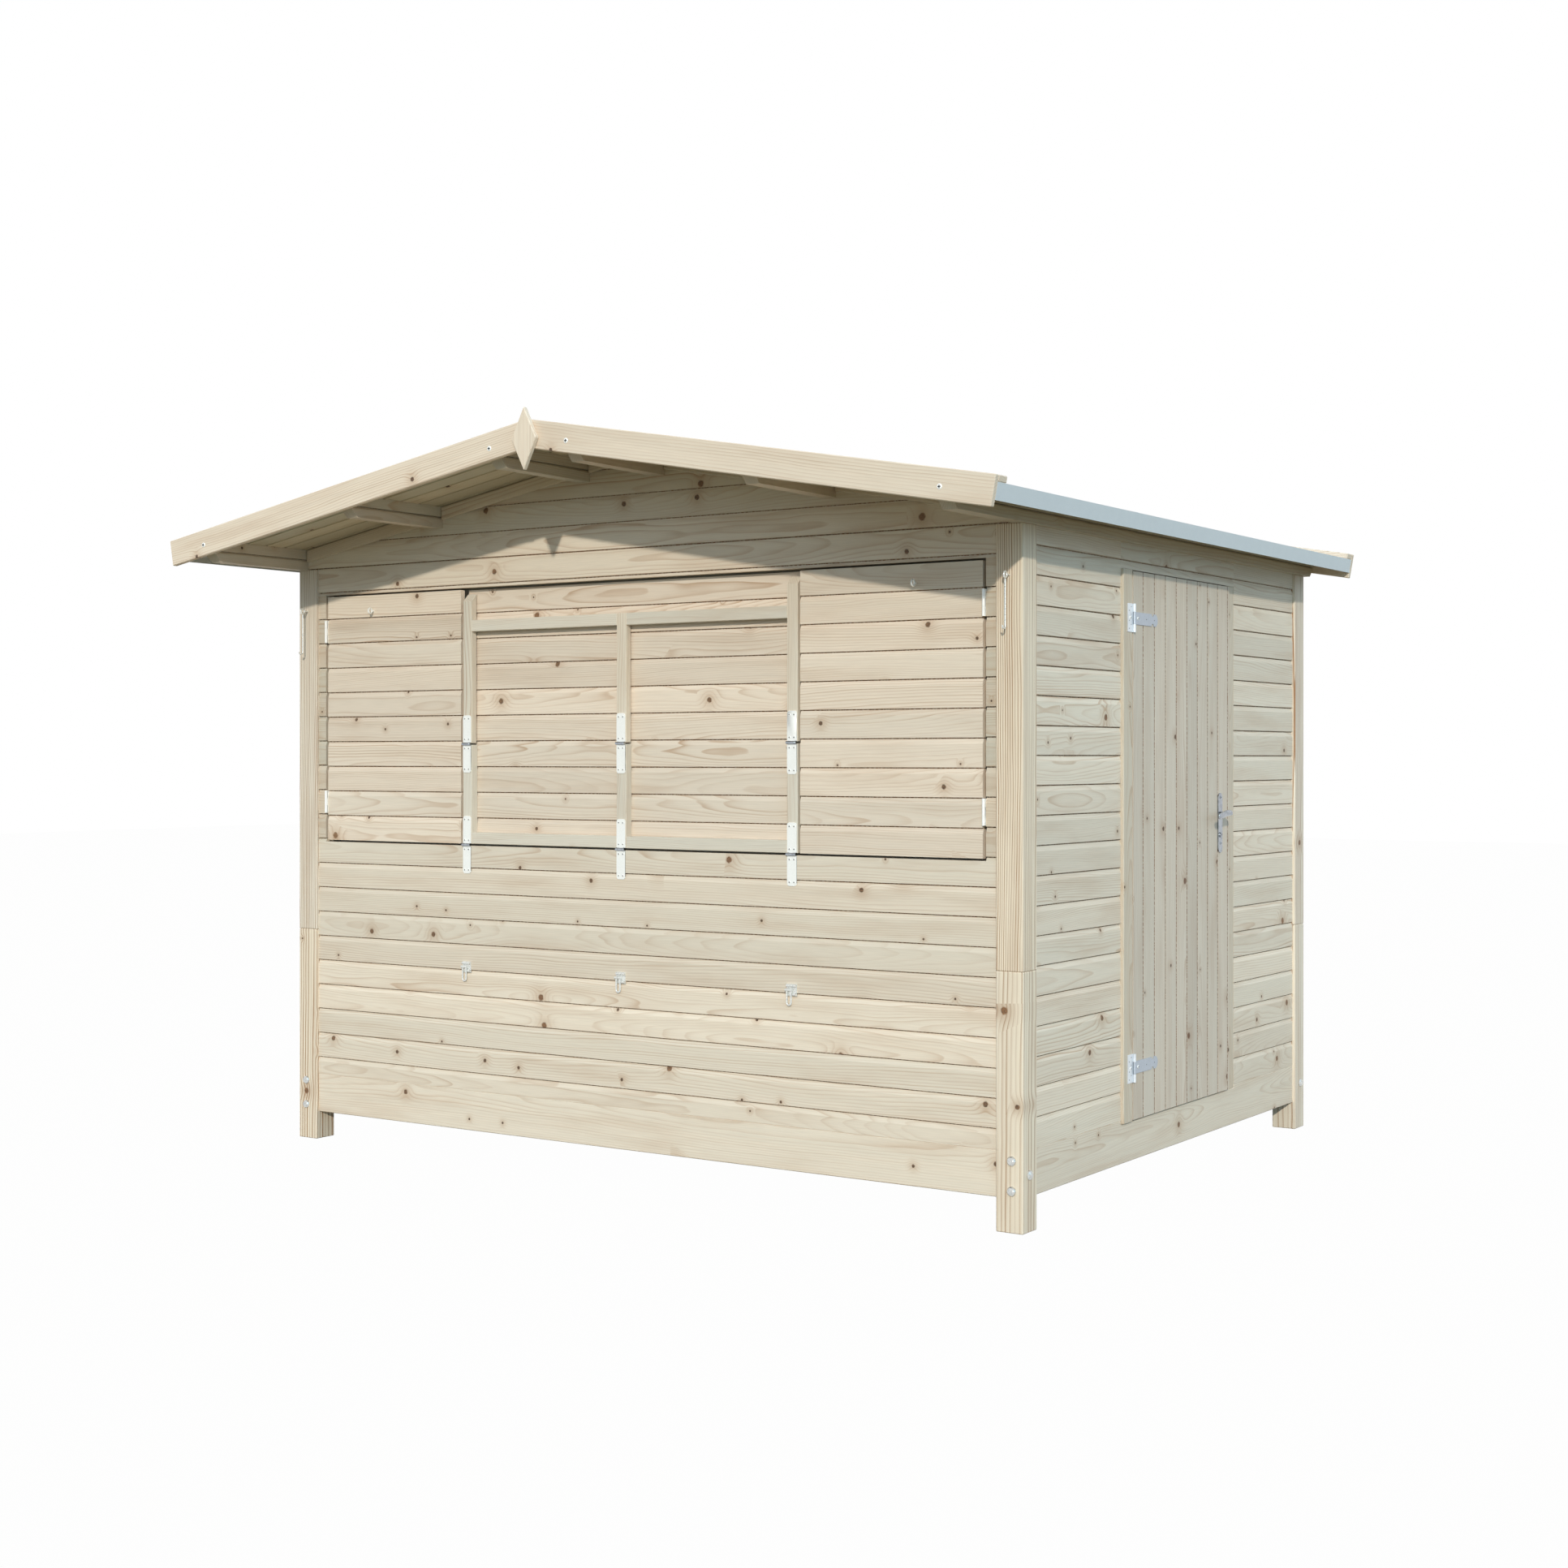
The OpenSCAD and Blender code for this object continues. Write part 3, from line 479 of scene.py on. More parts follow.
def easeEdges(bm, test, width):
    edges = [edge for edge in bm.edges if len(edge.link_faces) == 2 and test(edge)]
    if edges:
        bmesh.ops.bevel(
            bm, geom=edges, offset=width, offset_type="OFFSET", segments=1, profile=0.5, affect="EDGES",
            clamp_overlap=True,
        )


def isSharp(edge):
    return edge.calc_face_angle(0) > cutting["sharpAngle"]


def addWood(bm, target, grainWay, faceWay, draw, tone=None, aside=None):
    # Copies a board over with its own grain; aside is how far its pith lies to one side
    acrossWay = faceWay.cross(grainWay)
    bmesh.ops.recalc_face_normals(bm, faces=bm.faces[:])
    points = [vert.co for vert in bm.verts]
    if not points:
        return
    middle = sum(points, Vector()) / len(points)
    shift = Vector((
        draw.uniform(0, treePlace["along"]),
        draw.uniform(-treePlace["across"], treePlace["across"]),
        draw.uniform(*treePlace["deep"]),
    ))
    shift.y = shift.y if aside is None else aside
    lane = draw.randrange(treePlace["lanes"]) * treePlace["lane"]  # a lane apart for the knots
    chance = draw.random()
    tone = chance if tone is None else tone
    made = {}
    for vert in bm.verts:
        local = vert.co - middle
        new = target["bm"].verts.new(vert.co)
        new[target["grain"]] = (
            local.dot(grainWay) + shift.x + lane,
            local.dot(acrossWay) + shift.y,
            local.dot(faceWay) + shift.z,
        )
        new[target["tone"]] = tone
        made[vert] = new
    for face in bm.faces:
        target["bm"].faces.new([made[vert] for vert in face.verts])


def openTarget():
    bm = bmesh.new()
    return {
        "bm": bm,
        "grain": bm.verts.layers.float_vector.new("grain"),
        "tone": bm.verts.layers.float.new("tone"),
    }


def closeTarget(target, name, node, finish, slotName):
    makePiece(target["bm"], name, bodyOf[node], slotName, (finish,), node)


def islands(bm):  # each loose solid as a bmesh of its own
    waiting = set(bm.faces)
    while waiting:
        first = next(face for face in bm.faces if face in waiting)
        found, border = {first}, [first]
        while border:
            face = border.pop()
            for edge in face.edges:
                for other in edge.link_faces:
                    if other not in found:
                        found.add(other)
                        border.append(other)
        waiting -= found
        single = bmesh.new()
        made = {}
        for face in bm.faces:
            if face in found:
                for vert in face.verts:
                    if vert not in made:
                        made[vert] = single.verts.new(vert.co)
                single.faces.new([made[vert] for vert in face.verts])
        yield single


def addTimbers(bm, target, grainWay, faceWay, draw, ease, aside=None):  # loose solids with eased edges
    for solid in islands(bm):
        solid.normal_update()
        easeEdges(solid, isSharp, ease)
        addWood(solid, target, grainWay, faceWay, draw, aside=aside)
        solid.free()


# Wall and leaf boards slope back to their upper edge; the board above overhangs it
boardJoint = {
    "gap": 0.0030, "slope": (0.016, 0.0055), "topChamfer": 0.0, "lowChamfer": 0.0010, "tongueFrom": 0.008,
}


def slopeEdge(bm, level, acrossWay, faceWay, height, depth):
    splitAt(bm, acrossWay * (level - height), acrossWay, False)
    outer = max(vert.co.dot(faceWay) for vert in bm.verts)
    for vert in bm.verts:
        atEdge = abs(vert.co.dot(acrossWay) - level) < cutting["near"]
        if atEdge and vert.co.dot(faceWay) > outer - cutting["near"]:
            vert.co -= faceWay * depth


def shapeEdges(board, low, high, acrossWay, faceWay, joint):  # the edges that meet another board
    half = joint["gap"] / 2
    cuts = []
    if high is not None:
        cuts.append((high - half, joint["topChamfer"]))
    if low is not None:
        cuts.append((low + half, joint["lowChamfer"]))
    for level, width in cuts:
        if not width:
            continue
        board.normal_update()
        easeEdges(
            board,
            lambda edge: all(abs(vert.co.dot(acrossWay) - level) < cutting["near"] for vert in edge.verts)
            and any(abs(face.normal.dot(faceWay)) > cutting["facing"] for face in edge.link_faces),
            width,
        )
    if high is not None and "slope" in joint:
        slopeEdge(board, high - half, acrossWay, faceWay, *joint["slope"])


def rowOrder(plank):
    # Loose planks of one row, right to left; the one over the middle is last in front, first at the back
    places = [vert.co.x for vert in plank.verts]
    behind = max(vert.co.y for vert in plank.verts) > 0
    return (min(places) < 0 < max(places)) != behind, -min(places)


def cutBoards(body, target, acrossWay, faceWay, inner, outer, seams, joint, draw, apart):
    # Boards between the seams, then the tongues that close the joints; apart: a board may be in pieces
    grainWay = acrossWay.cross(faceWay).normalized()
    half = joint["gap"] / 2
    levels = [vert.co.dot(acrossWay) for vert in body.verts]
    lowest, highest = min(levels) + cutting["narrowest"], max(levels) - cutting["narrowest"]
    seams = [seam for seam in seams if lowest < seam < highest]
    edges = [None, *seams, None]
    for low, high in zip(edges, edges[1:]):
        board = body.copy()
        if low is not None:
            trimTo(board, acrossWay * (low + half), -acrossWay)
        if high is not None:
            trimTo(board, acrossWay * (high - half), acrossWay)
        shapeEdges(board, low, high, acrossWay, faceWay, joint)
        if apart:
            for plank in sorted(islands(board), key=rowOrder):
                addWood(plank, target, grainWay, faceWay, draw)
                plank.free()
        else:
            addWood(board, target, grainWay, faceWay, draw)
        board.free()
    for seam in seams:
        tongue = body.copy()
        trimTo(tongue, acrossWay * (seam - half), -acrossWay)
        trimTo(tongue, acrossWay * (seam + half), acrossWay)
        trimTo(tongue, faceWay * (outer - joint["tongueFrom"]), faceWay)
        trimTo(tongue, faceWay * (inner + joint["tongueFrom"]), -faceWay)
        addWood(tongue, target, grainWay, faceWay, draw, shadedTongueTone)
        tongue.free()


def boardNode(node, name, slotName, acrossWay, faceWay, seams, seed, joint=boardJoint):
    source = solidCopy(node)
    target = openTarget()
    depths = [vert.co.dot(faceWay) for vert in source.verts]
    cutBoards(
        source, target, acrossWay, faceWay, min(depths), max(depths), seams, joint, random.Random(seed), True,
    )
    source.free()
    closeTarget(target, name, node, woods[slotName], slotName)


def timberNode(node, slotName, grainWay, faceWay, seed, suffix="", ease=0.0025, aside=None):
    source = solidCopy(node)
    target = openTarget()
    addTimbers(source, target, grainWay, faceWay, random.Random(seed), ease, aside)
    source.free()
    closeTarget(target, camel(node) + suffix, node, woods[slotName], slotName)


def steps(first, pitch, last):
    count = int((last - first) / pitch) + 1
    return [first + i * pitch for i in range(count)]


# Boarded walls: first seam and pitch of the boards, and where the last one may lie
walls = {"front": (0.302, 0.0893, 1.05), "gable": (2.007, 0.0895, 2.6), "side": (0.3305, 0.0898, 2.6)}
frontSeams = steps(*walls["front"])
gableSeams = steps(*walls["gable"])
sideSeams = steps(*walls["side"])
for i, (node, faceWay, seams) in enumerate((
    ("front_wall", front, frontSeams),
    ("front_gable", front, gableSeams),
    ("rear_wall", rear, sideSeams),
    ("left_wall", left, sideSeams),
    ("right_wall_front", right, sideSeams),
    ("right_wall_rear", right, sideSeams),
    ("right_wall_over_door", right, sideSeams),
)):
    boardNode(node, camel(node) + "Boards", "wall_wood", up, faceWay, seams, 11 + i)
print("walls boarded")

# Shutters, counter, door and the cheeks beside the opening; ledges and studs come along with the boards
leaves = {
    "thick": 0.020, "seams": (1.1907, 0.0897, 2.0), "ledgeEase": 0.003,
    "doorSeams": (-0.114, 0.0886, 0.7),
    "doorJoint": {"gap": 0.0060, "topChamfer": 0.0004, "lowChamfer": 0.0004, "tongueFrom": 0.0006},
    "cheekThick": 0.026, "cheekSeams": (0.302, 0.0893, 2.0),
}


def leafNode(node, name, slotName, ways, thick, seams, seed, joint=boardJoint, finish=None):
    acrossWay, faceWay, ledgeWay = ways
    draw = random.Random(seed)
    source = solidCopy(node)
    target = openTarget()
    outer = max(vert.co.dot(faceWay) for vert in source.verts)
    back = outer - thick
    boards = source.copy()
    trimTo(boards, faceWay * (back + cutting["near"]), -faceWay)
    cutBoards(boards, target, acrossWay, faceWay, back, outer, seams, joint, draw, False)
    ledges = source.copy()
    trimTo(ledges, faceWay * (back - cutting["near"]), faceWay)
    addTimbers(ledges, target, ledgeWay, faceWay, draw, leaves["ledgeEase"])
    for bm in (ledges, boards, source):
        bm.free()
    closeTarget(target, name, node, finish or woods[slotName], slotName)


for side, word in sides:
    leafNode(
        word + "_jamb", word + "JambBoards", "frame_wood", (up, front, up), leaves["cheekThick"],
        steps(*leaves["cheekSeams"]), 25,
    )
for i, (node, name) in enumerate((
    ("left_shutter", "leftShutterBoards"),
    ("right_shutter", "rightShutterBoards"),
    ("counter_panel", "counterBoards"),
)):
    leafNode(node, name, "leaf_wood", (up, front, right), leaves["thick"], steps(*leaves["seams"]), 21 + i)
leafNode(
    "door_leaf", "doorBoards", "leaf_wood", (rear, right, rear), leaves["thick"], steps(*leaves["doorSeams"]),
    24, leaves["doorJoint"], doorWood,
)
print("leaves boarded")

# Floor
flooring = {"seams": (-0.83, 0.115, 1.3)}
boardNode("floor_boards", "floorPlanks", "floor_wood", rear, up, steps(*flooring["seams"]), 31)

# Roof decks
decking = {
    "seams": (-1.33, 0.0885, 1.42), "pitch": math.radians(10),
    "joint": {"gap": 0.0080, "topChamfer": 0.0020, "lowChamfer": 0.0020, "tongueFrom": 0.0065},
}
fall = math.tan(decking["pitch"])


def slopeUp(side):  # the way that a side of the roof faces
    return Vector((side * math.sin(decking["pitch"]), 0, math.cos(decking["pitch"])))


for side, word in sides:
    boardNode(
        word + "_roof_deck", word + "RoofBoards", "roof_wood", rear, slopeUp(side), steps(*decking["seams"]),
        33 + side, decking["joint"],
    )
print("floor and roof boarded")

# Square timbers: the node, its slot, the way its grain runs and the way it faces
quarterSawn = 0.13  # how far aside the pith lies where the lines run straight
for i, (node, slotName, grainWay, faceWay) in enumerate((
    ("front_left_post", "post_wood", up, front),
    ("front_right_post", "post_wood", up, front),
    ("rear_left_post", "post_wood", up, rear),
    ("rear_right_post", "post_wood", up, right),
    ("front_skirt", "wall_wood", right, front),
    ("rear_skirt", "wall_wood", right, rear),
    ("left_skirt", "wall_wood", rear, left),
    ("right_skirt", "wall_wood", rear, right),
    ("floor_frame", "frame_wood", rear, up),
    ("opening_rails", "frame_wood", right, front),
    ("door_hinge_jamb", "frame_wood", up, right),
    ("door_latch_jamb", "frame_wood", up, right),
    ("finial", "trim_wood", up, front),
)):
    aside = quarterSawn if slotName == "post_wood" else None
    timberNode(node, slotName, grainWay, faceWay, 50 + i, "Wood", aside=aside)

# Frames on the counter: stiles at the ends and in the middle, rails between them
frames = {"stileHalf": 0.020, "ease": 0.0015, "joint": 0.0002}


def framedNode(node, seed):
    draw = random.Random(seed)
    source = solidCopy(node)
    target = openTarget()
    low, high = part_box(node)
    half = frames["stileHalf"]
    stiles = [low.x + half, (low.x + high.x) / 2, high.x - half]
    cuts = [(x - half, x + half, up) for x in stiles]
    half += frames["joint"]
    cuts += [(first + half, second - half, right) for first, second in zip(stiles, stiles[1:])]
    for start, end, grainWay in cuts:
        part = source.copy()
        trimTo(part, right * start, left)
        trimTo(part, right * end, right)
        addTimbers(part, target, grainWay, front, draw, frames["ease"])
        part.free()
    source.free()
    closeTarget(target, camel(node) + "Wood", node, woods["batten_wood"], "batten_wood")


framedNode("counter_battens", 63)
framedNode("brace_frame", 64)

# Purlins of two boards, one on the other
purlins = {
    "split": 0.52,
    "joint": {"gap": 0.0015, "topChamfer": 0.007, "lowChamfer": 0.002, "tongueFrom": 0.012},
}
for i, word in enumerate(("eave", "mid", "ridge")):
    for j, side in enumerate(("left", "right")):
        node = side + "_" + word + "_purlin"
        low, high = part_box(node)
        seam = low.z + purlins["split"] * (high.z - low.z)
        boardNode(node, camel(node), "frame_wood", up, right, [seam], 100 + 2 * i + j, purlins["joint"])


def purlinPlace(word):  # how far a pair of purlins lies from the middle
    return abs(sum(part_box("left_" + word + "_purlin"), Vector()).x) / 2


# Barge boards and cap strips run up the slope
for i, (end, out) in enumerate(ends):
    for side, word in sides:
        slopeWay = Vector((math.cos(decking["pitch"]), 0, -side * math.sin(decking["pitch"])))
        timberNode(
            end + "_" + word + "_barge", "trim_wood", slopeWay, out, 80 + 4 * i + side, aside=quarterSawn,
        )
    timberNode(end + "_cap_strips", "trim_wood", right, out, 90 + i)
print("timbers dressed")

# Metal nodes that keep their CAD shape
for node, finish in (
    ("door_hinge_straps", metals["steel"]),
    ("door_hinge_plates", plateZinc),
    ("door_lock_plate", metals["bright_metal"]),
    ("left_shutter_fittings", metals["zinc"]),
    ("right_shutter_fittings", metals["zinc"]),
    ("jamb_hinge_leaves", metals["zinc"]),
    ("brace_latches", latchZinc),
    ("cabin_hooks", latchZinc),
    ("left_roof_sheet", metals["roof_sheet"]),
    ("right_roof_sheet", metals["roof_sheet"]),
):
    for slot in nodes[node].material_slots:
        slot.material = finish

# Strap hinges of the counter: white plated leaves, a bright barrel where two of them meet
barrels = {"radius": 0.0052}
for node, atLow, atHigh in (
    ("sill_hinge_leaves", False, True),
    ("brace_hinge_leaves", True, False),
    ("counter_hinge_leaves", True, True),
):
    low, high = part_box(node)
    axes = []
    if atLow:
        axes.append(low.z + barrels["radius"])
    if atHigh:
        axes.append(high.z - barrels["radius"])
    hinge = solidCopy(node)
    hinge.normal_update()
    for face in hinge.faces:
        height = face.calc_center_median().z
        face.material_index = int(any(abs(height - axis) < barrels["radius"] for axis in axes))
    finishes = (metals["zinc"], metals["bright_metal"])
    makePiece(hinge, camel("strap_" + node), bodyOf[node], "zinc", finishes, node)
print("metals assigned")

# Trim boards that follow the slope on the gables, between the purlins
rake = {"height": 0.044, "proud": 0.012, "clear": 0.002, "purlinHalf": 0.026, "ease": 0.002}


def rakeBoards(gable, name, out, seed):
    draw = random.Random(seed)
    low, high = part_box(gable)
    face = low.y if out.y < 0 else high.y
    proud, tall = rake["proud"], rake["height"]
    target = openTarget()
    stops = [0.0] + [purlinPlace(word) for word in ("ridge", "mid", "eave")]
    for side, word in sides:
        slopeWay = Vector((side * math.cos(decking["pitch"]), 0, -math.sin(decking["pitch"])))
        for first, last in zip(stops, stops[1:]):
            start = first + (rake["purlinHalf"] if first else 0.0)
            end = min(last - rake["purlinHalf"], abs(low.x) if last == stops[-1] else last)
            board = bmesh.new()
            rows = []
            for x in (start, end):
                top = high.z - x * fall - rake["clear"]
                rows.append([
                    board.verts.new((side * x, face + out.y * y, top - drop))
                    for y, drop in ((0, 0), (proud, 0), (proud, tall), (0, tall))
                ])
            closePrism(board, *rows)
            bmesh.ops.recalc_face_normals(board, faces=board.faces[:])
            easeEdges(board, isSharp, rake["ease"])
            addWood(board, target, slopeWay, out, draw)
            board.free()
    makePiece(target["bm"], name, "hut", "trim_wood", (woods["trim_wood"],))


rakeBoards("front_gable", "frontRakeTrim", front, 120)
rakeBoards("rear_wall", "rearRakeTrim", rear, 121)
print("rake trim set")

# Fasteners: one domed head on each point, turned to face out of what carries it
heads = {"rings": 4, "narrowing": -0.78, "crossLong": 1.10, "crossWide": 0.34, "crossThick": 0.05}


def headTree(name, shadedCross):
    tree = bpy.data.node_groups.new(name, "GeometryNodeTree")
    addSockets(tree, "INPUT", "Geometry", "Points")
    addSockets(tree, "INPUT", "Int", "Sides")
    addSockets(tree, "INPUT", "Float", "Dome")
    addSockets(tree, "INPUT", "Material", "Finish", "Recess")
    addSockets(tree, "OUTPUT", "Geometry", "Heads")
    given = addNode(tree, "NodeGroupInput").outputs

    def stored(name, kind):
        node = addNode(tree, "GeometryNodeInputNamedAttribute", data_type=kind)
        node.inputs["Name"].default_value = name
        return node.outputs["Attribute"]

    inputs = {"Vertices": given["Sides"], "Side Segments": heads["rings"], "Radius": 1.0, "Depth": 1.0}
    drum = addNode(tree, "GeometryNodeMeshCylinder", inputs, fill_type="NGON")
    x, y, z = splitVector(tree, addNode(tree, "GeometryNodeInputPosition").outputs[0])
    rise = calc(tree, "ADD", z, 0.5)
    squared = calc(tree, "MULTIPLY", rise, rise)
    narrow = calc(tree, "SQRT", calc(tree, "MULTIPLY_ADD", squared, heads["narrowing"], 1.0))
    shaped = stretch(tree, (x, y, rise), (narrow, narrow, given["Dome"]))
    inputs = {"Geometry": drum.outputs["Mesh"], "Position": shaped}
    dome = addNode(tree, "GeometryNodeSetPosition", inputs)
    join = addNode(tree, "GeometryNodeJoinGeometry", {0: dome.outputs[0]})
    # A dark cross on top of the dome, painted shade that stands in for a screw's recess
    if shadedCross:
        lift = addNode(tree, "ShaderNodeCombineXYZ", {2: given["Dome"]})
        long, wide, thick = heads["crossLong"], heads["crossWide"], heads["crossThick"]
        for size in ((long, wide, thick), (wide, long, thick)):
            bar = addNode(tree, "GeometryNodeMeshCube", {"Size": size})
            inputs = {"Geometry": bar.outputs["Mesh"], "Translation": lift.outputs[0]}
            put = addNode(tree, "GeometryNodeTransform", inputs)
            inputs = {"Geometry": put.outputs[0], "Name": "recess", "Value": True}
            mark = addNode(
                tree, "GeometryNodeStoreNamedAttribute", inputs, data_type="BOOLEAN", domain="FACE",
            )
            tree.links.new(mark.outputs[0], join.inputs[0])

    inputs = {"Vector": stored("facing", "FLOAT_VECTOR")}
    turn = addNode(tree, "FunctionNodeAlignRotationToVector", inputs, axis="Z")
    spread = addNode(tree, "GeometryNodeInstanceOnPoints", {
        "Points": given["Points"],
        "Instance": join.outputs[0],
        "Rotation": turn.outputs[0],
        "Scale": stored("headRadius", "FLOAT"),
    })
    real = addNode(tree, "GeometryNodeRealizeInstances", {0: spread.outputs[0]})
    inputs = {"Geometry": real.outputs[0], "Material": given["Finish"]}
    coat = addNode(tree, "GeometryNodeSetMaterial", inputs)
    inputs = {
        "Geometry": coat.outputs[0],
        "Material": given["Recess"],
        "Selection": stored("recess", "BOOLEAN"),
    }
    dark = addNode(tree, "GeometryNodeSetMaterial", inputs)
    addNode(tree, "NodeGroupOutput", {"Heads": dark.outputs[0]})
    return tree


screwTree = headTree("crossScrewHeads", True)
boltTree = headTree("domedBoltHeads", False)


def setHeads(name, tree, body, slotName, finish, settings, points):
    # points: each head's place, the way it faces, and its radius
    mesh = bpy.data.meshes.new(name + "Points")
    mesh.from_pydata([place for place, way, radius in points], [], [])
    mesh.attributes.new("facing", "FLOAT_VECTOR", "POINT")
    mesh.attributes.new("headRadius", "FLOAT", "POINT")
    for i, (place, way, radius) in enumerate(points):
        mesh.attributes["facing"].data[i].vector = way
        mesh.attributes["headRadius"].data[i].value = radius
    carrier = bpy.data.objects.new(name + "Points", mesh)
    scene.collection.objects.link(carrier)
    modifier = carrier.modifiers.new("heads", "NODES")
    modifier.node_group = tree
    inputs = {item.name: item.identifier for item in tree.interface.items_tree if item.in_out == "INPUT"}
    modifier[inputs["Sides"]] = settings["around"]
    modifier[inputs["Dome"]] = settings["dome"]
    modifier[inputs["Finish"]] = finish
    modifier[inputs["Recess"]] = paintedShadeFinish
    graph = bpy.context.evaluated_depsgraph_get()
    made = bpy.data.meshes.new_from_object(carrier.evaluated_get(graph), depsgraph=graph)
    made.name = name
    carrier.modifiers.remove(modifier)
    bpy.data.objects.remove(carrier)
    placePiece(made, name, body, slotName)


def flatFaces(node, way):  # lowest and highest corner of each solid's largest face that looks that way
    source = solidCopy(node)
    found = []
    for solid in islands(source):
        solid.normal_update()
        faces = [face for face in solid.faces if face.normal.dot(way) > cutting["square"]]
        if faces:
            best = max(faces, key=lambda face: face.calc_area())
            points = [vert.co for vert in best.verts]
            found.append((
                Vector([min(point[i] for point in points) for i in range(3)]),
                Vector([max(point[i] for point in points) for i in range(3)]),
            ))
        solid.free()
    source.free()
    return found


# Strap hinges of the counter: two pairs of screws in each leaf
strapScrews = {"radius": 0.0044, "aside": 0.0088, "endMargin": 0.012, "dome": 0.28, "around": 16}
for node in ("counter_hinge_leaves", "brace_hinge_leaves", "sill_hinge_leaves"):
    points = []
    for low, high in flatFaces(node, front):
        middle = (low.x + high.x) / 2
        for z in (low.z + strapScrews["endMargin"], high.z - strapScrews["endMargin"]):
            for x in (middle - strapScrews["aside"], middle + strapScrews["aside"]):
                points.append(((x, low.y, z), front, strapScrews["radius"]))
    setHeads(camel("screws_" + node), screwTree, bodyOf[node], "zinc", metals["zinc"], strapScrews, points)

# T hinges of the door: one screw in each plate and strap, with flat dark discs beside it painted as the shade
# in open holes, as shares of the face
teeScrews = {
    "radius": 0.0056, "dome": 0.42, "around": 16,
    "plateScrews": ((0.50, 0.50),), "strapScrews": ((0.16, 0.50),),
}
teeHoles = {
    "radius": 0.0019, "dome": 0.06, "around": 16,
    "plateHoles": ((0.30, 0.12), (0.66, 0.26), (0.30, 0.40), (0.66, 0.62), (0.30, 0.75), (0.66, 0.89)),
    "strapHoles": ((0.52, 0.50), (0.86, 0.50)),
}


def teeHeads(name, tree, node, finish, settings, shares):
    points = []
    for low, high in flatFaces(node, right):
        for across, rise in shares:
            place = (high.x, low.y + across * (high.y - low.y), low.z + rise * (high.z - low.z))
            points.append((place, right, settings["radius"]))
    setHeads(name, tree, bodyOf[node], "zinc", finish, settings, points)


for node, name, word in (
    ("door_hinge_plates", "HingePlates", "plate"),
    ("door_hinge_straps", "HingeStraps", "strap"),
):
    teeHeads("screws" + name, screwTree, node, metals["zinc"], teeScrews, teeScrews[word + "Screws"])
    teeHeads("holes" + name, boltTree, node, paintedShadeFinish, teeHoles, teeHoles[word + "Holes"])

# Lock plate of the door: a screw at each end, and the keyhole in its round boss, as dark discs painted as the
# shade in the hole
lockScrews = {"radius": 0.0055, "endMargin": 0.015, "dome": 0.40, "around": 16}
keyhole = {"bossDrop": 0.073, "rounds": ((0.0025, 0.0030), (-0.0030, 0.0017)), "dome": 0.06, "around": 16}
low, high = flatFaces("door_lock_plate", right)[0]
middle = (low.y + high.y) / 2
points = [
    ((high.x, middle, z), right, lockScrews["radius"])
    for z in (low.z + lockScrews["endMargin"], high.z - lockScrews["endMargin"])
]
setHeads("screwsLockPlate", screwTree, "door", "bright_metal", metals["bright_metal"], lockScrews, points)
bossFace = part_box("door_lock_plate")[1].x
bossHeight = sum(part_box("door_lever"), Vector()).z / 2 - keyhole["bossDrop"]
points = [((bossFace, middle, bossHeight + rise), right, radius) for rise, radius in keyhole["rounds"]]
setHeads("keyholeLockPlate", boltTree, "door", "bright_metal", paintedShadeFinish, keyhole, points)

# Lever of the door: a round neck, a bend, and a flattened grip that rises and falls along its length
lever = {
    "bend": 0.016, "bendRows": 10, "gripRows": 26, "around": 24, "wave": 0.0048, "waveTurns": 0.80,
    "wide": 0.0112, "thin": 0.0064, "fullFrom": 0.35, "tip": 0.10, "tipClose": 0.97,
}


def leverRows(low, high, neck):  # centre of each ring, the way across it, and the share of the way along
    axis = Vector((low.x, high.y - neck, (low.z + high.z) / 2))
    gripX = high.x - neck
    bendAxis = Vector((gripX - lever["bend"], axis.y - lever["bend"], axis.z))
    bendLength = lever["bend"] * math.pi / 2
    total = bendLength + bendAxis.y - low.y
    yield axis, rear, 0.0
    for i in range(lever["bendRows"]):
        share = i / lever["bendRows"]
        angle = math.pi / 2 * share
        way = Vector((math.sin(angle), math.cos(angle), 0))
        yield bendAxis + way * lever["bend"], way, bendLength * share / total
    for i in range(lever["gripRows"] + 1):
        y = bendAxis.y + (low.y - bendAxis.y) * math.sin(math.pi / 2 * i / lever["gripRows"])
        yield Vector((gripX, y, axis.z)), right, (bendLength + bendAxis.y - y) / total


low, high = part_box("door_lever")
neck = (high.z - low.z) / 2
bm = bmesh.new()
rings = []
for centre, way, done in leverRows(low, high, neck):
    full = min(1.0, done / lever["fullFrom"])
    tip = max(0.0, (done - 1.0 + lever["tip"]) / lever["tip"])
    shrink = math.sqrt(1.0 - lever["tipClose"] * tip * tip)
    deep = (neck + (lever["thin"] - neck) * full) * shrink
    tall = (neck + (lever["wide"] - neck) * full) * shrink
    lift = lever["wave"] * math.sin(2 * math.pi * lever["waveTurns"] * done)
    ring = []
    for i in range(lever["around"]):
        turn = 2 * math.pi * i / lever["around"]
        corner = centre + way * (deep * math.cos(turn)) + up * (lift + tall * math.sin(turn))
        ring.append(bm.verts.new(corner))
    rings.append(ring)
for first, last in zip(rings, rings[1:]):
    for i in range(lever["around"]):
        j = (i + 1) % lever["around"]
        bm.faces.new((first[i], last[i], last[j], first[j])).smooth = True
bm.faces.new(rings[0])
bm.faces.new(rings[-1][::-1])
bmesh.ops.recalc_face_normals(bm, faces=bm.faces[:])
makePiece(bm, "leverGrip", bodyOf["door_lever"], "bright_metal", (metals["bright_metal"],), "door_lever")

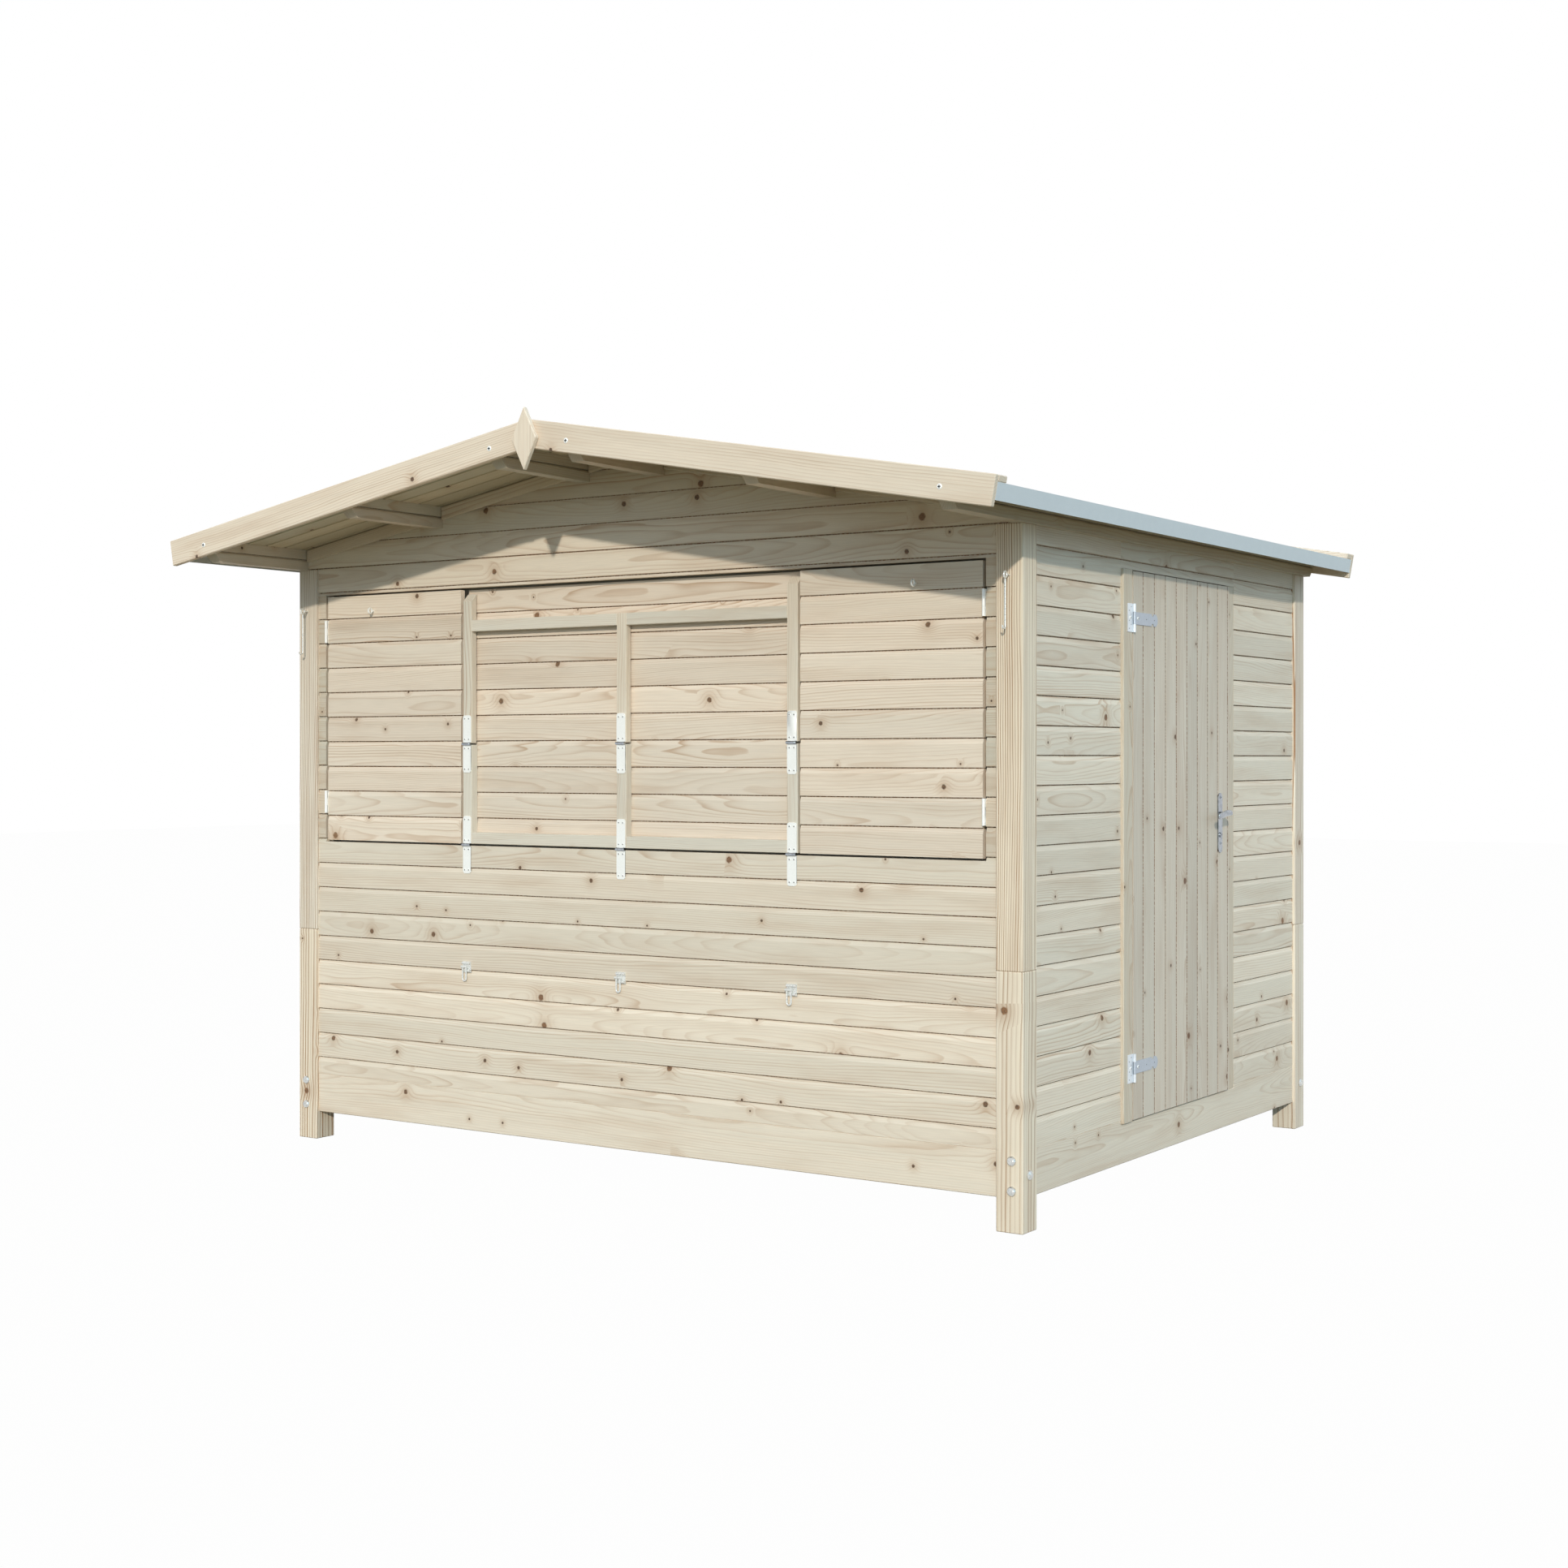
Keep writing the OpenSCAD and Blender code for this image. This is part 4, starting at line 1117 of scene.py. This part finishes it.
# Screws through the barge boards into the purlins; those at the back are sunk
bargeScrews = {"radius": 0.0085, "belowTop": 0.0535}
bargeHeads = {"front": {"around": 20, "dome": 0.22}, "rear": {"around": 20, "dome": 0.03}}
for end, out in ends:
    low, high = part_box(end + "_left_barge")
    face = low.y if out.y < 0 else high.y
    points = []
    for word in ("ridge", "eave"):
        x = purlinPlace(word)
        z = high.z - x * fall - bargeScrews["belowTop"]
        for side in (-1, 1):
            points.append(((side * x, face, z), out, bargeScrews["radius"]))
    setHeads(end + "BargeScrews", screwTree, "hut", "zinc", metals["zinc"], bargeHeads[end], points)

# Domed bolts through the feet of the posts
postBolts = {
    "radius": 0.0155, "dome": 0.62, "around": 10, "fromSide": 0.0375, "fromEnd": 0.040,
    "heights": (0.124, 0.213), "sideHeight": 0.170,
}
points = []
for end, out in ends:
    for side, word in sides:
        low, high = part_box(end + "_" + word + "_post")
        outerX = low.x if side < 0 else high.x
        outerY = low.y if out.y < 0 else high.y
        for z in postBolts["heights"]:
            points.append(((outerX - side * postBolts["fromSide"], outerY, z), out, postBolts["radius"]))
        inY = outerY - out.y * postBolts["fromEnd"]
        points.append(((outerX, inY, postBolts["sideHeight"]), right * side, postBolts["radius"]))
setHeads("postBolts", boltTree, "hut", "zinc", boltZinc, postBolts, points)

# Sealed screws in rows along the roof sheets
sheetScrews = {
    "radius": 0.0095, "dome": 0.45, "around": 12, "fromRidge": (0.16, 0.82, 1.56), "pitch": 0.354,
    "startMargin": 0.07, "endMargin": 0.03, "sunk": 0.0002,
}
points = []
for side, word in sides:
    low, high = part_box(word + "_roof_sheet")
    row = steps(low.y + sheetScrews["startMargin"], sheetScrews["pitch"], high.y - sheetScrews["endMargin"])
    for x in sheetScrews["fromRidge"]:
        z = high.z - x * fall - sheetScrews["sunk"]
        for y in row:
            points.append(((side * x, y, z), slopeUp(side), sheetScrews["radius"]))
setHeads("sheetScrews", boltTree, "hut", "zinc", boltZinc, sheetScrews, points)
print("fasteners set")

# Laps where the roof sheets overlap, and the folded cap over the ridge
sheetLaps = {
    "places": (-0.47, 0.47), "width": 0.026, "rise": 0.0022, "sunk": 0.0002, "reach": (0.01, 1.64),
    "capReach": (0.0, 0.115), "capRise": 0.0044, "capMargin": 0.035,
}


def slopedStrip(bm, side, ridge, reach, start, end, rise):  # a thin strip that lies on one slope of the roof
    corners = ((start, -sheetLaps["sunk"]), (end, -sheetLaps["sunk"]), (end, rise), (start, rise))
    rows = [[bm.verts.new((side * x, y, ridge - x * fall + lift)) for y, lift in corners] for x in reach]
    closePrism(bm, *rows)


bm = bmesh.new()
for side, word in sides:
    low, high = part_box(word + "_roof_sheet")
    half = sheetLaps["width"] / 2
    for y in sheetLaps["places"]:
        slopedStrip(bm, side, high.z, sheetLaps["reach"], y - half, y + half, sheetLaps["rise"])
    margin = sheetLaps["capMargin"]
    slopedStrip(
        bm, side, high.z, sheetLaps["capReach"], low.y + margin, high.y - margin, sheetLaps["capRise"],
    )
bmesh.ops.recalc_face_normals(bm, faces=bm.faces[:])
makePiece(bm, "sheetLaps", "hut", "roof_sheet", (metals["roof_sheet"],))
print("roof laps set")

# Keeper strip on the latch jamb
keeper = {"low": 1.8055, "high": 1.8995, "width": 0.010, "thick": 0.0025, "fromDoor": 0.0055, "ease": 0.0008}
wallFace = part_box("right_wall_rear")[1].x
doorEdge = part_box("door_leaf")[1].y + keeper["fromDoor"]
bm = bmesh.new()
bmesh.ops.create_cube(bm, size=1.0)
for vert in bm.verts:
    vert.co = (
        wallFace + (vert.co.x + 0.5) * keeper["thick"],
        doorEdge + (vert.co.y + 0.5) * keeper["width"],
        keeper["low"] + (vert.co.z + 0.5) * (keeper["high"] - keeper["low"]),
    )
bmesh.ops.bevel(bm, geom=bm.edges[:], offset=keeper["ease"], segments=2, affect="EDGES", profile=0.5)
makePiece(bm, "latchKeeper", "hut", "zinc", (metals["steel"],))
print("keeper set")

# Floor, world and lamps
light = {
    "sunTravel": (-0.29, 0.489, -0.22), "sunColour": (1.0, 0.94, 0.82), "sunStrength": 1.98, "sunAngle": 1.4,
    "fillTravel": (-1.0, 0.40, -0.28), "fillColour": (0.05, 0.62, 1.0), "fillStrength": 0.50, "fillAngle": 70,
    "skyColour": (0.80, 0.92, 1.0), "skyStrength": 0.875, "groundStrength": 0.112, "horizon": (-0.15, 0.18),
    "floorSize": 60.0, "floorTint": (98, 94, 66), "floorRough": 0.9, "floorGlow": 0.985,
}


def addSun(name, travel, colour, strength, angle):
    lamp = bpy.data.objects.new(name, bpy.data.lights.new(name, "SUN"))
    lamp.data.color = colour
    lamp.data.energy = strength
    lamp.data.angle = math.radians(angle)
    lamp.rotation_mode = "QUATERNION"
    lamp.rotation_quaternion = Vector(travel).to_track_quat("-Z", "Y")
    scene.collection.objects.link(lamp)


addSun("lowSun", light["sunTravel"], light["sunColour"], light["sunStrength"], light["sunAngle"])
addSun("skyFill", light["fillTravel"], light["fillColour"], light["fillStrength"], light["fillAngle"])


def seenDirectly(tree):  # 1 for rays from the camera, and for what shows in or through a surface
    path = addNode(tree, "ShaderNodeLightPath").outputs
    either = calc(tree, "MAXIMUM", path["Is Camera Ray"], path["Is Glossy Ray"])
    return calc(tree, "MAXIMUM", either, path["Is Transmission Ray"])


def mixShaders(tree, share, first, second, output):
    mix = addNode(tree, "ShaderNodeMixShader", {0: share, 1: first.outputs[0], 2: second.outputs[0]})
    tree.links.new(mix.outputs[0], tree.nodes[output].inputs["Surface"])


world = bpy.data.worlds.new("paleSky")
scene.world = world
world.use_nodes = True
tree = world.node_tree
sky = tree.nodes["Background"]
sky.inputs["Color"].default_value = (*light["skyColour"], 1.0)
rise = splitVector(tree, addNode(tree, "ShaderNodeTexCoord").outputs["Generated"])["Z"]
level = ramp(tree, rise, *light["horizon"], light["groundStrength"], light["skyStrength"])
tree.links.new(level, sky.inputs["Strength"])
white = addNode(tree, "ShaderNodeBackground", {"Color": (1, 1, 1, 1)})
mixShaders(tree, seenDirectly(tree), sky, white, "World Output")

half = light["floorSize"] / 2
floorMesh = bpy.data.meshes.new("paleFloor")
corners = [(-half, -half, 0), (half, -half, 0), (half, half, 0), (-half, half, 0)]
floorMesh.from_pydata(corners, [], [(0, 1, 2, 3)])
floor = bpy.data.objects.new("paleFloor", floorMesh)
scene.collection.objects.link(floor)
floorFinish, tree, matte = newFinish("palePaving")
matte.inputs["Base Color"].default_value = tint(*light["floorTint"])
matte.inputs["Roughness"].default_value = light["floorRough"]
glow = addNode(tree, "ShaderNodeEmission", {"Color": (1, 1, 1, 1)})
share = calc(tree, "MULTIPLY", seenDirectly(tree), light["floorGlow"])
mixShaders(tree, share, matte, glow, "Material Output")
floorMesh.materials.append(floorFinish)
print("floor and light set")
